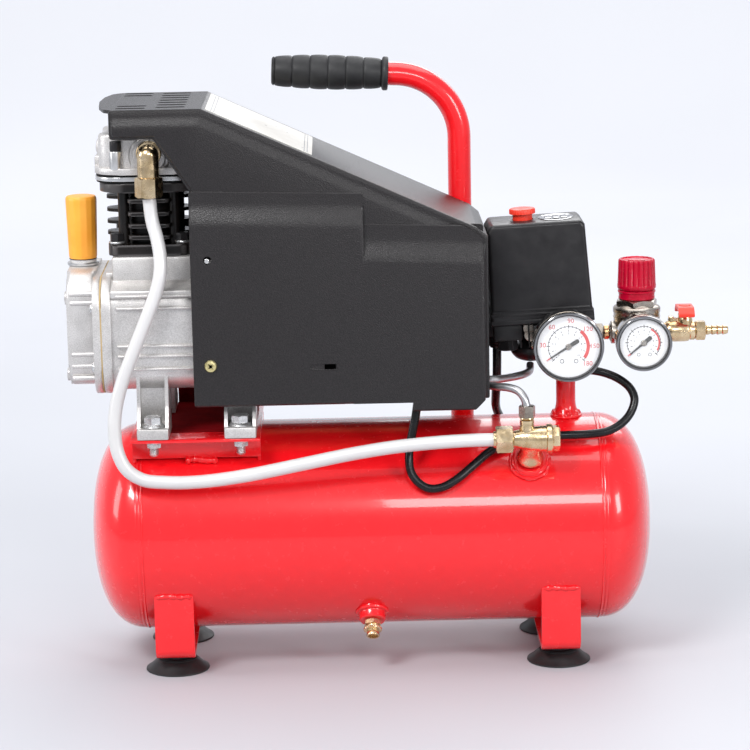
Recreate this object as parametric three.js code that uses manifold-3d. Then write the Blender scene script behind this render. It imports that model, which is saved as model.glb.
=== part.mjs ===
// Portable direct-drive piston air compressor on a horizontal receiver.
// Millimetres, +Z up, X along the tank, -Y towards the gauges. The origin is the bottom centre.
import * as THREE from "three";
import { mergeVertices } from "three/addons/utils/BufferGeometryUtils.js";
import Module from "manifold-3d";

const wasm = await Module();
wasm.setup();

// ---- driving dimensions -------------------------------------------------------------------
const GAP = 0.3; // between touching pieces
const EPS = 1; // how far a cutting tool passes a face

const TANK_Z = 103; // height of the receiver's axis
const TANK_R = 79.3;
const TANK_WALL = 2.2;
const SHELL = { left: -173.6, right: 171.6 }; // the rolled shell between its two weld seams
const END_DEPTH = 41.4; // dished end, beyond the seam
const END_POWER = 2.4; // superellipse power of the dished end

const LEG_X = [-152, 140]; // strap centres along X
const STRAP = { width: 29.6, thick: 3, top: 69, bottom: 14.3, front: -70, bend: 7 };
const FOOT = { radius: 24.3, y: 42, height: 14 };

const CRANK_Z = 258; // crankshaft axis, on Y = 0
const STROKE = 32;
const ROD_LENGTH = 80;
const CYL_X = -163; // cylinder axis
const BORE_R = 19.6;
const BREATHER_X = -216;
const CASE = { left: -199.3, right: -84, halfY: 56, low: 218.2, high: 302, rim: 2.5 };
const LUG_X = [-163.4, -98.4];
const LUG = { width: 23.6, low: 185.1, pad: 8.4, front: 70, wall: 2.6 };
const BRACKET = { left: -180.5, right: -83.5, halfY: 70, low: 182.6, top: 184.8, webY: 52 };
const BOLT_Y = 60.5;
const BOLT_HOLE_R = 4.6;

const SHROUD = { left: -131, right: 88, front: -67, back: 62, wall: 2.6 };
const ROOF = { z: 431, tip: -199, breakX: -120.5 };

const POST = { x: 150, r: 7.5, top: 235.6 };
const PORT_Z = 246.5; // height of every manifold port
const HANDLE = { x: 73.8, y: 73, r: 9.1, bend: 50, lean: 2.5, z: 440.5, reach: 93.5, grip: 87 };
const SWITCH_LEAN = 2.5; // degrees, about Y
const SWITCH = { x: 129, z: 258, left: 92, right: 170.6, halfY: 25, top: 335.5 };
const REG_X = 204.6; // regulator axis
const CORD_R = 3.4;

// ---- materials ------------------------------------------------------------------------------
const paint = (color, roughness = 0.35, metalness = 0) =>
  new THREE.MeshStandardMaterial({ color, roughness, metalness });
const RED = paint(0xe01a22);
const BLACK = paint(0x2b2a2d, 0.65);
const RUBBER = paint(0x1b1a1c, 0.8);
const CAST = paint(0xc8c5c2, 0.5, 0.6);
const STEEL = paint(0xb8b9bd, 0.35, 0.9);
const BRASS = paint(0xc9a55a, 0.35, 0.9);
const IRON = paint(0x2a2625, 0.7, 0.3);
const WHITE = paint(0xe6e6ea, 0.4, 0.2);
const KNOB_RED = paint(0xd00a35, 0.4);
const ORANGE = paint(0xf7a93b, 0.5);
const GLASS = paint(0xd9c27a, 0.15);
const COPPER = paint(0xb06a3a, 0.4, 0.8);

// ---- small geometry helpers -----------------------------------------------------------------
const V = (x, y, z) => new THREE.Vector3(x, y, z);
const X = V(1, 0, 0);
const Y = V(0, 1, 0);
const Z = V(0, 0, 1);
const rad = THREE.MathUtils.degToRad;

function solid(geometry) {
  const bare = geometry.clone();
  bare.deleteAttribute("normal");
  bare.deleteAttribute("uv");
  const merged = mergeVertices(bare, 1e-4);
  return new wasm.Manifold(
    new wasm.Mesh({
      numProp: 3,
      vertProperties: merged.attributes.position.array,
      triVerts: new Uint32Array(merged.index.array),
    }),
  );
}

function surface(made) {
  const mesh = made.getMesh();
  const geometry = new THREE.BufferGeometry();
  geometry.setAttribute("position", new THREE.BufferAttribute(mesh.vertProperties, 3));
  geometry.setIndex(new THREE.BufferAttribute(mesh.triVerts, 1));
  const flat = geometry.toNonIndexed();
  flat.computeVertexNormals();
  return flat;
}

const join = (...pieces) => surface(pieces.map(solid).reduce((a, b) => a.add(b)));
const cut = (body, ...tools) =>
  surface(tools.map(solid).reduce((rest, tool) => rest.subtract(tool), solid(body)));

function part(name, geometry, material) {
  const mesh = new THREE.Mesh(geometry, material);
  mesh.name = name;
  return mesh;
}

function group(...children) {
  const made = new THREE.Group();
  made.add(...children);
  return made;
}

function box(x0, x1, y0, y1, z0, z1) {
  const made = new THREE.BoxGeometry(x1 - x0, y1 - y0, z1 - z0);
  return made.translate((x0 + x1) / 2, (y0 + y1) / 2, (z0 + z1) / 2);
}

// A round bar, cone or, with six sides, a hexagon from one point to another.
function bar(from, to, r, sides = 20, endR = r) {
  const along = to.clone().sub(from);
  const made = new THREE.CylinderGeometry(endR, r, along.length(), sides);
  made.applyQuaternion(new THREE.Quaternion().setFromUnitVectors(Y, along.clone().normalize()));
  return made.translate(...from.clone().add(to).multiplyScalar(0.5).toArray());
}

// A turned piece: [radius, height] pairs, height measured along the axis from the origin.
function turned(profile, axis = Z, origin = V(0, 0, 0), sides = 24) {
  const area = profile.reduce((sum, [r, h], i) => {
    const [r2, h2] = profile[(i + 1) % profile.length];
    return sum + r * h2 - r2 * h;
  }, 0);
  const ordered = area > 0 ? profile : [...profile].reverse();
  const made = new THREE.LatheGeometry(ordered.map(([r, h]) => new THREE.Vector2(r, h)), sides);
  made.applyQuaternion(new THREE.Quaternion().setFromUnitVectors(Y, axis));
  return made.translate(...origin.toArray());
}

// A closed ring profile, for turned(): inner radius, outer radius, low and high.
const ring = (r0, r1, h0, h1) => [[r0, h0], [r1, h0], [r1, h1], [r0, h1], [r0, h0]];

function outline(points) {
  return new THREE.Shape(points.map(([a, b]) => new THREE.Vector2(a, b)));
}

function roundedRect(halfA, halfB, r, a = 0, b = 0) {
  const shape = new THREE.Shape();
  shape.moveTo(a + halfA, b - halfB + r);
  shape.absarc(a + halfA - r, b + halfB - r, r, 0, Math.PI / 2);
  shape.absarc(a - halfA + r, b + halfB - r, r, Math.PI / 2, Math.PI);
  shape.absarc(a - halfA + r, b - halfB + r, r, Math.PI, 1.5 * Math.PI);
  shape.absarc(a + halfA - r, b - halfB + r, r, 1.5 * Math.PI, 2 * Math.PI);
  return shape;
}

const extrude = (shape, depth, curveSegments = 3) =>
  new THREE.ExtrudeGeometry(shape, { depth, bevelEnabled: false, curveSegments });

// Outlines drawn in XY, XZ or YZ, swept along the axis that is left.
const prismZ = (shape, z0, z1, curve) => extrude(shape, z1 - z0, curve).translate(0, 0, z0);
const prismY = (shape, y0, y1, curve) =>
  extrude(shape, y1 - y0, curve)
    .applyMatrix4(new THREE.Matrix4().makeBasis(X, Z, V(0, -1, 0)))
    .translate(0, y1, 0);
const prismX = (shape, x0, x1, curve) =>
  extrude(shape, x1 - x0, curve)
    .applyMatrix4(new THREE.Matrix4().makeBasis(Y, Z, X))
    .translate(x0, 0, 0);

// A round tube along a curve; innerR leaves a bore.
function sweep(curve, r, sides, steps, innerR = 0) {
  const circle = (radius) =>
    Array.from({ length: sides }, (_, i) => {
      const a = (2 * Math.PI * i) / sides;
      return new THREE.Vector2(radius * Math.cos(a), radius * Math.sin(a));
    });
  const shape = new THREE.Shape(circle(r));
  if (innerR) shape.holes.push(new THREE.Path(circle(innerR)));
  return new THREE.ExtrudeGeometry(shape, { steps, extrudePath: curve, bevelEnabled: false });
}

const spline = (points) =>
  new THREE.CatmullRomCurve3(points.map((p) => V(...p)), false, "centripetal");

// The whole tank as a plain cylinder, for trimming what is welded to it.
const tankBlank = (extra = 0) =>
  bar(V(SHELL.left - END_DEPTH, 0, TANK_Z), V(SHELL.right + END_DEPTH, 0, TANK_Z), TANK_R + extra, 40);

// A point on the tank's skin, or off it by some height, at an angle forward of straight up.
function onTank(x, degrees, height) {
  const r = TANK_R + height;
  return V(x, -r * Math.sin(rad(degrees)), TANK_Z + r * Math.cos(rad(degrees)));
}

// ---- receiver -------------------------------------------------------------------------------
const INLET = { x: 118, angle: 45, r: 12.3, height: 5.5 };
const DRAIN = { x: -2.5, angle: 138, r: 9.8, height: 7.5 };

function tankShell() {
  const sides = 40;
  const skin = turned(
    ring(TANK_R - TANK_WALL, TANK_R, 0, SHELL.right - SHELL.left),
    X,
    V(SHELL.left, 0, TANK_Z),
    sides,
  );
  const boss = ({ x, angle, r, height }) =>
    bar(onTank(x, angle, -1.5), onTank(x, angle, height), r + 2.5, 16, r);
  return part("tank_shell", join(skin, boss(INLET), boss(DRAIN)), RED);
}

function dishedEnd(name, x, towards) {
  const arc = (r, depth, count) =>
    Array.from({ length: count + 1 }, (_, i) => {
      const t = ((Math.PI / 2) * i) / count;
      return [r * Math.cos(t) ** (2 / END_POWER), depth * Math.sin(t) ** (2 / END_POWER)];
    });
  const inner = arc(TANK_R - TANK_WALL, END_DEPTH - TANK_WALL, 4).reverse();
  inner[0][0] = 0;
  const outer = arc(TANK_R, END_DEPTH, 6);
  outer[outer.length - 1][0] = 0;
  const start = V(x + towards * GAP, 0, TANK_Z);
  return part(name, turned([...inner, ...outer], V(towards, 0, 0), start, 32), RED);
}

function strapLeg(name, x) {
  const { thick, top, bottom, front, bend, width } = STRAP;
  const run = (y, z, r) => {
    const shape = new THREE.Shape();
    shape.moveTo(y, top);
    shape.lineTo(y, z + r);
    shape.absarc(y + r, z + r, r, Math.PI, 1.5 * Math.PI);
    shape.lineTo(-y - r, z);
    shape.absarc(-y - r, z + r, r, 1.5 * Math.PI, 2 * Math.PI);
    shape.lineTo(-y, top);
    shape.closePath();
    return shape;
  };
  const outer = prismX(run(front, bottom, bend), x - width / 2, x + width / 2);
  const inner = prismX(run(front + thick, bottom + thick, bend - thick), x - width, x + width);
  const lifted = inner.translate(0, 0, 0.001);
  const above = box(x - width, x + width, front - EPS, -front + EPS, top - 0.5, top + 3);
  return part(name, cut(outer, lifted, above, tankBlank(GAP)), RED);
}

function suctionFoot(name, x, y) {
  const { radius, height } = FOOT;
  const profile = [
    [0, 2.2], [13, 1.6], [19, 0], [radius, 0], [radius, 1.8], [19, 5.2], [11, 9], [9, height], [0, height],
  ];
  return part(name, turned(profile, Z, V(x, y, 0), 24), RUBBER);
}

function feet() {
  const sides = { left: LEG_X[0], right: LEG_X[1] };
  const rows = { front: -FOOT.y, rear: FOOT.y };
  return Object.entries(rows).flatMap(([row, y]) =>
    Object.entries(sides).map(([side, x]) => suctionFoot(`foot_${row}_${side}`, x, y)),
  );
}

// Clearance holes for the four lug bolts.
function boltHoles(z0, z1) {
  return LUG_X.flatMap((x) =>
    [-BOLT_Y, BOLT_Y].map((y) => bar(V(x, y, z0), V(x, y, z1), BOLT_HOLE_R, 12)),
  );
}

function motorBaseBracket() {
  const { left, right, halfY, low, top, webY } = BRACKET;
  const webThick = 2.5;
  const endHalf = 60;
  const foot = 150;
  const web = (y0, y1) => box(left, right, y0, y1, foot, top);
  const end = (x) => box(x, x + webThick, -endHalf, endHalf, foot, top);
  const plate = box(left, right, -halfY, halfY, low, top);
  const rearTab = box(-149.5, -112.5, halfY - webThick, halfY, low, 214); // between the rear lugs
  const holes = boltHoles(low - EPS, top + EPS);
  const pressed = join(
    plate, rearTab, web(-webY, webThick - webY), web(webY - webThick, webY), end(left),
    end(right - webThick),
  );
  return part("motor_base_bracket", cut(pressed, tankBlank(GAP), ...holes), RED);
}

function drainCock() {
  const axis = onTank(0, DRAIN.angle, 1).sub(onTank(0, DRAIN.angle, 0));
  const seat = onTank(DRAIN.x, DRAIN.angle, DRAIN.height + GAP);
  const at = (d) => seat.clone().addScaledVector(axis, d);
  const body = join(
    bar(at(0), at(4), 6.9, 6),
    bar(at(3.5), at(5.5), 5, 16),
  );
  const start = 5.8;
  const end = 12.5;
  const screw = cut(
    join(bar(at(start), at(start + 2.2), 7, 16), bar(at(start + 2), at(end), 4.4, 16, 5.1)),
    bar(at(end - 3), at(end + EPS), 3.6, 12),
  );
  return [part("drain_cock_body", body, BRASS), part("drain_cock_screw", screw, BRASS)];
}

// ---- handle ---------------------------------------------------------------------------------
// The lifting tube: up from the tank's rear shoulder, round one bend, then along to the left.
class HandlePath extends THREE.CurvePath {
  constructor() {
    super();
    const { x, y, bend, lean, z, reach } = HANDLE;
    const turn = rad(90 - lean);
    const foot = V(x, y, 132);
    const start = V(x, y, z - bend);
    const centre = V(x - bend, y, z - bend);
    const at = (a) => V(centre.x + bend * Math.cos(a), y, centre.z + bend * Math.sin(a));
    const arc = new THREE.CatmullRomCurve3(Array.from({ length: 9 }, (_, i) => at((turn * i) / 8)));
    const heading = V(-Math.sin(turn), 0, Math.cos(turn));
    const end = at(turn).addScaledVector(heading, reach);
    this.add(new THREE.LineCurve3(foot, start));
    this.add(arc);
    this.add(new THREE.LineCurve3(at(turn), end));
    this.end = end;
    this.heading = heading;
  }
}

function handle() {
  const path = new HandlePath();
  const steps = 40;
  const tube = cut(sweep(path, HANDLE.r, 10, steps, HANDLE.r - 1.6), tankBlank(GAP));
  const wall = 3.2;
  const bore = HANDLE.r + GAP;
  const length = HANDLE.grip;
  const barrel = [
    [0, -wall], [10.6, -wall], [12, -1], [13.2, length * 0.3], [13.8, length * 0.5], [13.2, length * 0.7],
    [12, length - 3], [bore, length - 3], [bore, GAP], [0, GAP],
  ];
  const inwards = path.heading.clone().negate();
  const grip = turned(barrel, inwards, path.end.clone().addScaledVector(path.heading, GAP * 2), 20);
  return [part("handle_tube", tube, RED), part("handle_grip", grip, RUBBER)];
}

// ---- pump -----------------------------------------------------------------------------------
function lugFrame(x) {
  const { width, low, pad, front, wall } = LUG;
  const half = width / 2;
  const pieces = [];
  for (const s of [-1, 1]) {
    const y = (d) => s * d;
    const cheek = (x0) =>
      prismX(
        outline(
          [[front - 4, low + 1], [front - 4, low + pad], [58, 208], [54, 234], [26, 240], [26, low + 1]].map(
            ([a, b]) => [y(a), b],
          ),
        ),
        x0,
        x0 + wall,
      );
    pieces.push(cheek(x - half), cheek(x + half - wall));
    const [y0, y1] = s < 0 ? [-front, -40] : [40, front];
    pieces.push(box(x - half, x + half, y0, y1, low, low + pad));
    const [w0, w1] = s < 0 ? [-43, -40] : [40, 43];
    pieces.push(box(x - half, x + half, w0, w1, low, 238));
  }
  return pieces;
}

function crankcase() {
  const { left, right, halfY, low, high, rim } = CASE;
  const midZ = (low + high) / 2;
  const bracketLeft = -128;
  const bracketR = 50.4;
  const barrelBody = prismX(roundedRect(halfY, (high - low) / 2, 22, 0, midZ), left, bracketLeft + 2);
  const flange = prismX(roundedRect(halfY + 3, (high - low) / 2 + rim, 22, 0, midZ), left, left + 7);
  const bell = bar(V(bracketLeft, 0, CRANK_Z), V(right, 0, CRANK_Z), bracketR, 28);
  const turret = box(-192, -125, -40, 40, high - 8, 319);
  const ribs = [292, 282, 255, 246, 237].flatMap((z) => [
    box(-188, bracketLeft, -halfY - 2.4, -halfY + 12, z - 0.9, z + 0.9),
    box(-188, bracketLeft, halfY - 12, halfY + 2.4, z - 0.9, z + 0.9),
  ]);
  const bores = [
    bar(V(left - EPS, 0, CRANK_Z), V(-142, 0, CRANK_Z), 37, 28),
    bar(V(-143, 0, CRANK_Z), V(-125, 0, CRANK_Z), 8.6, 16),
    bar(V(-126, 0, CRANK_Z), V(right + EPS, 0, CRANK_Z), 46, 28),
    bar(V(CYL_X, 0, CRANK_Z), V(CYL_X, 0, 320), 22.4, 24),
    ...boltHoles(LUG.low - EPS, LUG.low + LUG.pad + EPS),
  ];
  const casting = join(barrelBody, flange, bell, turret, ...ribs, ...LUG_X.flatMap(lugFrame));
  return part("crankcase", cut(casting, ...bores), CAST);
}

function crankcaseCover() {
  const right = CASE.left - 1.1; // room for the paper gasket
  const midZ = (CASE.low + CASE.high) / 2;
  const halfZ = (CASE.high - CASE.low) / 2;
  const flange = prismX(roundedRect(CASE.halfY + 3, halfZ + CASE.rim, 22, 0, midZ), right - 5.5, right);
  const dome = prismX(roundedRect(48, 43, 18, 0, midZ + 4.4), -225.8, right - 5);
  const breatherBoss = bar(V(BREATHER_X, 0, 290), V(BREATHER_X, 0, 312.7), 10.6, 20);
  const hollow = bar(V(-222.5, 0, CRANK_Z), V(right + EPS, 0, CRANK_Z), 33, 24);
  const sightHole = bar(V(-228.5, 0, 241), V(-222, 0, 241), 7.3, 16);
  return part("crankcase_cover", cut(join(flange, dome, breatherBoss), hollow, sightHole), CAST);
}

function oilSightGlass() {
  const profile = [[0, 0], [6.9, 0], [6.9, 4.2], [8.6, 4.2], [8.6, 6.6], [5.6, 7.4], [0, 7.4]];
  return part("oil_sight_glass", turned(profile, V(-1, 0, 0), V(-221.8, 0, 241), 20), GLASS);
}

function oilBreatherCap() {
  const profile = [[0, 0], [10.3, 0], [10.7, 2], [11.9, 45.4], [10.9, 47.6], [0, 47.6]];
  return part("oil_breather_cap", turned(profile, Z, V(BREATHER_X, 0, 313), 20), ORANGE);
}

function cylinder() {
  const low = 319.3;
  const top = 373.2;
  const barrel = bar(V(CYL_X, 0, low), V(CYL_X, 0, top), 23, 24);
  const plate = (halfX, halfY, r, z0, z1) => prismZ(roundedRect(halfX, halfY, r, CYL_X, 0), z0, z1);
  const quarter = [[33, 5], [24, 11], [17, 22], [15, 36]]; // fins reach out in narrow ears on both sides
  const fin = outline([
    ...quarter.map(([x, y]) => [CYL_X + x, y]),
    ...[...quarter].reverse().map(([x, y]) => [CYL_X - x, y]),
    ...quarter.map(([x, y]) => [CYL_X - x, -y]),
    ...[...quarter].reverse().map(([x, y]) => [CYL_X + x, -y]),
  ]);
  const fins = [332.4, 341, 350, 359.8].map((z) => prismZ(fin, z - 1.2, z + 1.2));
  const corners = [[19, 26], [-19, 26], [19, -26], [-19, -26]];
  const columns = corners.map(([x, y]) => bar(V(CYL_X + x, y, low + 1), V(CYL_X + x, y, top - 1), 4.2, 12));
  const bore = bar(V(CYL_X, 0, low - EPS), V(CYL_X, 0, top + EPS), BORE_R, 24);
  const ends = [plate(29, 39, 5, low, low + 8), plate(37, 37, 20, 366.2, top)];
  const casting = join(barrel, ...ends, ...columns, ...fins);
  return part("cylinder", cut(casting, bore), IRON);
}

function valvePlate() {
  const made = prismZ(roundedRect(39.8, 37.5, 20, CYL_X, 0), 373.5, 379.4);
  return part("valve_plate", made, STEEL);
}

function cylinderHead() {
  const low = 379.7;
  const flange = prismZ(roundedRect(40.2, 38, 20, CYL_X, 0), low, low + 4);
  const body = prismZ(roundedRect(39.5, 36.5, 18, CYL_X, 0), low, 409);
  const bolts = [-1, 1].flatMap((sx) =>
    [-1, 1].map((sy) => {
      const foot = V(CYL_X + sx * 27, sy * 30, low + 8);
      return bar(foot, foot.clone().setZ(411), 8.5, 12);
    }),
  );
  return part("cylinder_head", cut(join(flange, body), ...bolts), CAST);
}

function headElbow() {
  const x = -161;
  const drop = -52.4;
  const height = 396;
  const nut = { top: 380, bottom: 365 };
  const made = join(
    bar(V(x, -36.9, height), V(x, drop, height), 7, 16),
    new THREE.SphereGeometry(7.9, 16, 8).translate(x, drop, height),
    bar(V(x, drop, height), V(x, drop, nut.top - 0.3), 7.9, 16),
    bar(V(x, drop, nut.top), V(x, drop, nut.bottom), 10.4, 6),
  );
  return part("head_elbow", made, BRASS);
}

const DISCHARGE_ROUTE = [
  [-161, -52.4, 363.8], [-159.4, -54, 348.3], [-156, -58, 335.4], [-153.8, -62, 321.1],
  [-154.2, -65, 308.9], [-157.4, -67, 296.7], [-163, -69, 282.2], [-170.1, -70, 265.3],
  [-177.3, -71, 248.3], [-184.6, -72, 229.8], [-189.6, -73, 211.2], [-191.2, -75, 195],
  [-189.1, -77, 177.9], [-182.8, -78, 165.1], [-171.2, -78, 157.2], [-153.5, -78, 154.8],
  [-130.5, -78, 154.7], [-96.1, -79, 158.7], [-55.1, -80, 166.4], [-14.8, -80, 174],
  [17.9, -79, 178.4], [49.9, -78, 180.8], [72.3, -77, 181.5], [92, -76.5, 181.6],
];

function dischargeTube() {
  const tubeR = 5;
  const nut = bar(V(90.9, -76.5, 181.6), V(104.2, -76.5, 181.6), 10.6, 6);
  return part("discharge_tube", join(sweep(spline(DISCHARGE_ROUTE), tubeR, 8, 48), nut), WHITE);
}

function lugBolts() {
  const names = ["front_left", "front_right", "rear_left", "rear_right"];
  return names.map((place, i) => {
    const x = LUG_X[i % 2];
    const y = i < 2 ? -BOLT_Y : BOLT_Y;
    const at = (z) => V(x, y, z);
    const seat = LUG.low + LUG.pad + GAP;
    const under = BRACKET.low - GAP;
    const made = join(
      bar(at(seat), at(seat + 2), 7.8, 16),
      bar(at(seat + 1.5), at(seat + 7), 6.4, 6),
      bar(at(seat + 1), at(under - 11), 3.6, 10),
      bar(at(under), at(under - 5), 6.6, 6),
    );
    return part(`lug_bolt_${place}`, made, STEEL);
  });
}

// The slider crank, drawn with the piston at the bottom of its stroke.
const PIN_Z = CRANK_Z - STROKE / 2 + ROD_LENGTH;

function piston() {
  const skirt = 12;
  const crown = 18;
  const cup = cut(
    bar(V(CYL_X, 0, PIN_Z - skirt), V(CYL_X, 0, PIN_Z + crown), BORE_R - 0.25, 24),
    bar(V(CYL_X, 0, PIN_Z - skirt - EPS), V(CYL_X, 0, PIN_Z + crown - 5), BORE_R - 3, 20),
  );
  const pin = bar(V(CYL_X - 18, 0, PIN_Z), V(CYL_X + 18, 0, PIN_Z), 4, 12);
  return part("piston", join(cup, pin), STEEL);
}

function connectingRod() {
  const x0 = CYL_X - 4.5;
  const x1 = CYL_X + 4.5;
  const bigZ = PIN_Z - ROD_LENGTH;
  const blank = join(
    bar(V(x0, 0, PIN_Z), V(x1, 0, PIN_Z), 7.6, 16),
    bar(V(x0, 0, bigZ), V(x1, 0, bigZ), 12.6, 20),
    box(x0 + 1.5, x1 - 1.5, -4.5, 4.5, bigZ, PIN_Z),
  );
  const eyes = [
    bar(V(x0 - EPS, 0, PIN_Z), V(x1 + EPS, 0, PIN_Z), 4.5, 12),
    bar(V(x0 - EPS, 0, bigZ), V(x1 + EPS, 0, bigZ), 8.2, 16),
  ];
  return part("connecting_rod", cut(blank, ...eyes), CAST);
}

function crankshaft() {
  const webLeft = CYL_X + 8.1;
  const webRight = webLeft + 6.4;
  const pinZ = CRANK_Z - STROKE / 2;
  const fanEnd = 62;
  const made = join(
    bar(V(webLeft, 0, CRANK_Z), V(webRight, 0, CRANK_Z), 24, 20),
    box(webLeft, webRight, -20, 20, CRANK_Z, CRANK_Z + 28),
    bar(V(webLeft + 1, 0, pinZ), V(CYL_X + 4.9, 0, pinZ), 7.5, 14),
    bar(V(webRight - 1, 0, CRANK_Z), V(fanEnd, 0, CRANK_Z), 8, 14),
  );
  return part("crankshaft", made, STEEL);
}

// ---- motor ----------------------------------------------------------------------------------
function rotor() {
  const made = turned(ring(8.3, 26.2, 0, 78), X, V(-79, 0, CRANK_Z), 20);
  return part("rotor", made, STEEL);
}

// The laminated core with its windings, closed at the fan end by the bearing shield.
function stator() {
  const core = turned(ring(27, 50, 0, 76), X, V(-83.7, 0, CRANK_Z), 24);
  const windings = [-102, -9].map((x) => turned(ring(29, 41, 0, 20), X, V(x, 0, CRANK_Z), 20));
  const skirt = turned(ring(45, 50, 0, 37), X, V(-8.5, 0, CRANK_Z), 24);
  const shield = turned(ring(8.6, 48, 0, 7), X, V(22, 0, CRANK_Z), 24);
  return part("stator", join(core, skirt, shield, ...windings), COPPER);
}

function coolingFan() {
  const left = 38;
  const right = 58;
  const hub = bar(V(left, 0, CRANK_Z), V(right, 0, CRANK_Z), 15, 16);
  const blades = Array.from({ length: 6 }, (_, i) =>
    box(left + 2, right - 2, 12, 46, -1.2, 1.2).rotateX((Math.PI * 2 * i) / 6).translate(0, 0, CRANK_Z),
  );
  const shaftHole = bar(V(left - EPS, 0, CRANK_Z), V(right + EPS, 0, CRANK_Z), 8.3, 14);
  return part("cooling_fan", cut(join(hub, ...blades), shaftHole), BLACK);
}

// ---- shroud ---------------------------------------------------------------------------------
function shroud() {
  const { left, right, front, back, wall } = SHROUD;
  const skirtX = -188;
  const skirtZ = 409.5;
  const side = outline([
    [left, 210.5], [31, 210.5], [33, 204], [77, 204], [84.5, 211], [right, 211], [right, 333],
    [80, 339.5], [ROOF.breakX, ROOF.z], [skirtX, ROOF.z], [skirtX, skirtZ], [-156.2, skirtZ], [left, 371],
  ]);
  const roofLip = outline([
    [ROOF.breakX, front], [-186, front], [-192, -58], [-197, -34], [ROOF.tip, -2], [-197.5, 30],
    [-193, 53], [-187, back], [ROOF.breakX, back],
  ]);
  const leftFace = outline([[left, 210.5], [-3.5, 210.5], [-3.5, 366.5], [left, 371]]);
  const leftBulge = prismY(leftFace, -75, front + 1);
  const rightFace = outline([
    [-4, 211], [33, 204], [77, 204], [84.5, 211], [84.5, 331], [78, 335.5], [64, 342], [-4, 344.5],
  ]);
  const rightBulge = prismY(rightFace, -71.5, front + 1);
  const inside = outline([
    [left - 60, 190], [74, 190], [76.4, 192], [76.4, 332], [72, 340.3], [ROOF.breakX - 0.6, ROOF.z - wall],
    [skirtX + wall, ROOF.z - wall], [skirtX + wall, 300],
  ]);
  const hollows = [
    prismY(inside, front + wall, back - wall),
    box(left - EPS, -6, -72.4, front + wall + EPS, 190, 364),
    box(-7, 76.4, -68.9, front + wall + EPS, 190, 330),
    box(79, right + EPS, front + 4, back - 4, 190, 326), // recessed fan end
  ];
  const slotHalf = 2.3;
  const roofSlots = [
    ...[-54, -38, 38, 54].map((y) => [-183.5, -161.5, y]),
    ...[-50, -33, -16, 1, 18, 35, 52].map((y) => [-154.5, -132.5, y]),
  ].map(([x0, x1, y]) => box(x0, x1, y - slotHalf, y + slotHalf, 426, 432));
  const louvres = Array.from({ length: 6 }, (_, i) => {
    const y = -37.5 + i * 14;
    return box(75, 80, y, y + 5, 232, 312);
  });
  const frontSlot = box(-44, -26, -80, -70, 236.5, 241.5);
  const shell = join(prismY(side, front, back), prismZ(roofLip, ROOF.z - 3.2, ROOF.z), leftBulge, rightBulge);
  return part("shroud", cut(shell, ...hollows, ...roofSlots, ...louvres, frontSlot), BLACK);
}

// ---- check valve and unloader ----------------------------------------------------------------
function checkValve() {
  const centre = V(0, -76.5, 181.6);
  const at = (x) => V(x, centre.y, centre.z);
  const seat = onTank(INLET.x, INLET.angle, INLET.height + 1.2);
  const hub = V(INLET.x, centre.y, centre.z);
  const body = join(
    bar(at(104.6), at(132), 6.2, 20, 9.6),
    bar(at(129), at(133.5), 11, 20),
    bar(at(133), at(139), 9.8, 8),
    bar(seat, hub, 7.4, 18, 8.8),
    bar(V(114.8, centre.y, 184), V(114.8, centre.y, 196), 5.4, 14),
  );
  return part("check_valve", body, BRASS);
}

const UNLOADER_ROUTE = [
  [114.8, -76.5, 198], [114.6, -76.3, 206], [112.8, -74.5, 212.5], [108.6, -71, 217], [101.5, -66, 218.7],
  [94, -60.5, 218.4], [87, -55, 218.6], [84.6, -50, 219.2], [87, -45, 220.4], [94.9, -40, 219.8],
  [103.6, -33, 219.4], [111.6, -27, 219.4], [118.4, -16, 219], [122, -7, 219.6], [122.8, -2, 223.4],
];

function unloaderTube() {
  const tube = sweep(spline(UNLOADER_ROUTE), 3, 8, 30);
  const nut = bar(V(114.8, -76.5, 196.3), V(114.8, -76.5, 207), 6.2, 6);
  return part("unloader_tube", join(tube, nut), STEEL);
}

// ---- manifold, pressure switch ----------------------------------------------------------------
function manifoldPost() {
  const foot = TANK_Z + TANK_R - 3;
  const height = POST.top - foot;
  const profile = [[4.5, 0], [14.5, 0], [12.5, 6], [POST.r, 13], [POST.r, height], [4.5, height], [4.5, 0]];
  const made = cut(turned(profile, Z, V(POST.x, 0, foot), 20), tankBlank(GAP));
  return part("manifold_post", made, RED);
}

const BLOCK = { left: 141, right: 167.6, halfY: 11, low: POST.top + GAP, high: 257.4 };

function manifoldBlock() {
  const { left, right, halfY, low, high } = BLOCK;
  return part("manifold_block", box(left, right, -halfY, halfY, low, high), BRASS);
}

function hexNipple() {
  const at = (x) => V(x, 0, PORT_Z);
  const made = join(bar(at(167.9), at(184.2), 5, 14), bar(at(171), at(178), 7.4, 6));
  return part("regulator_nipple", made, STEEL);
}

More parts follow.
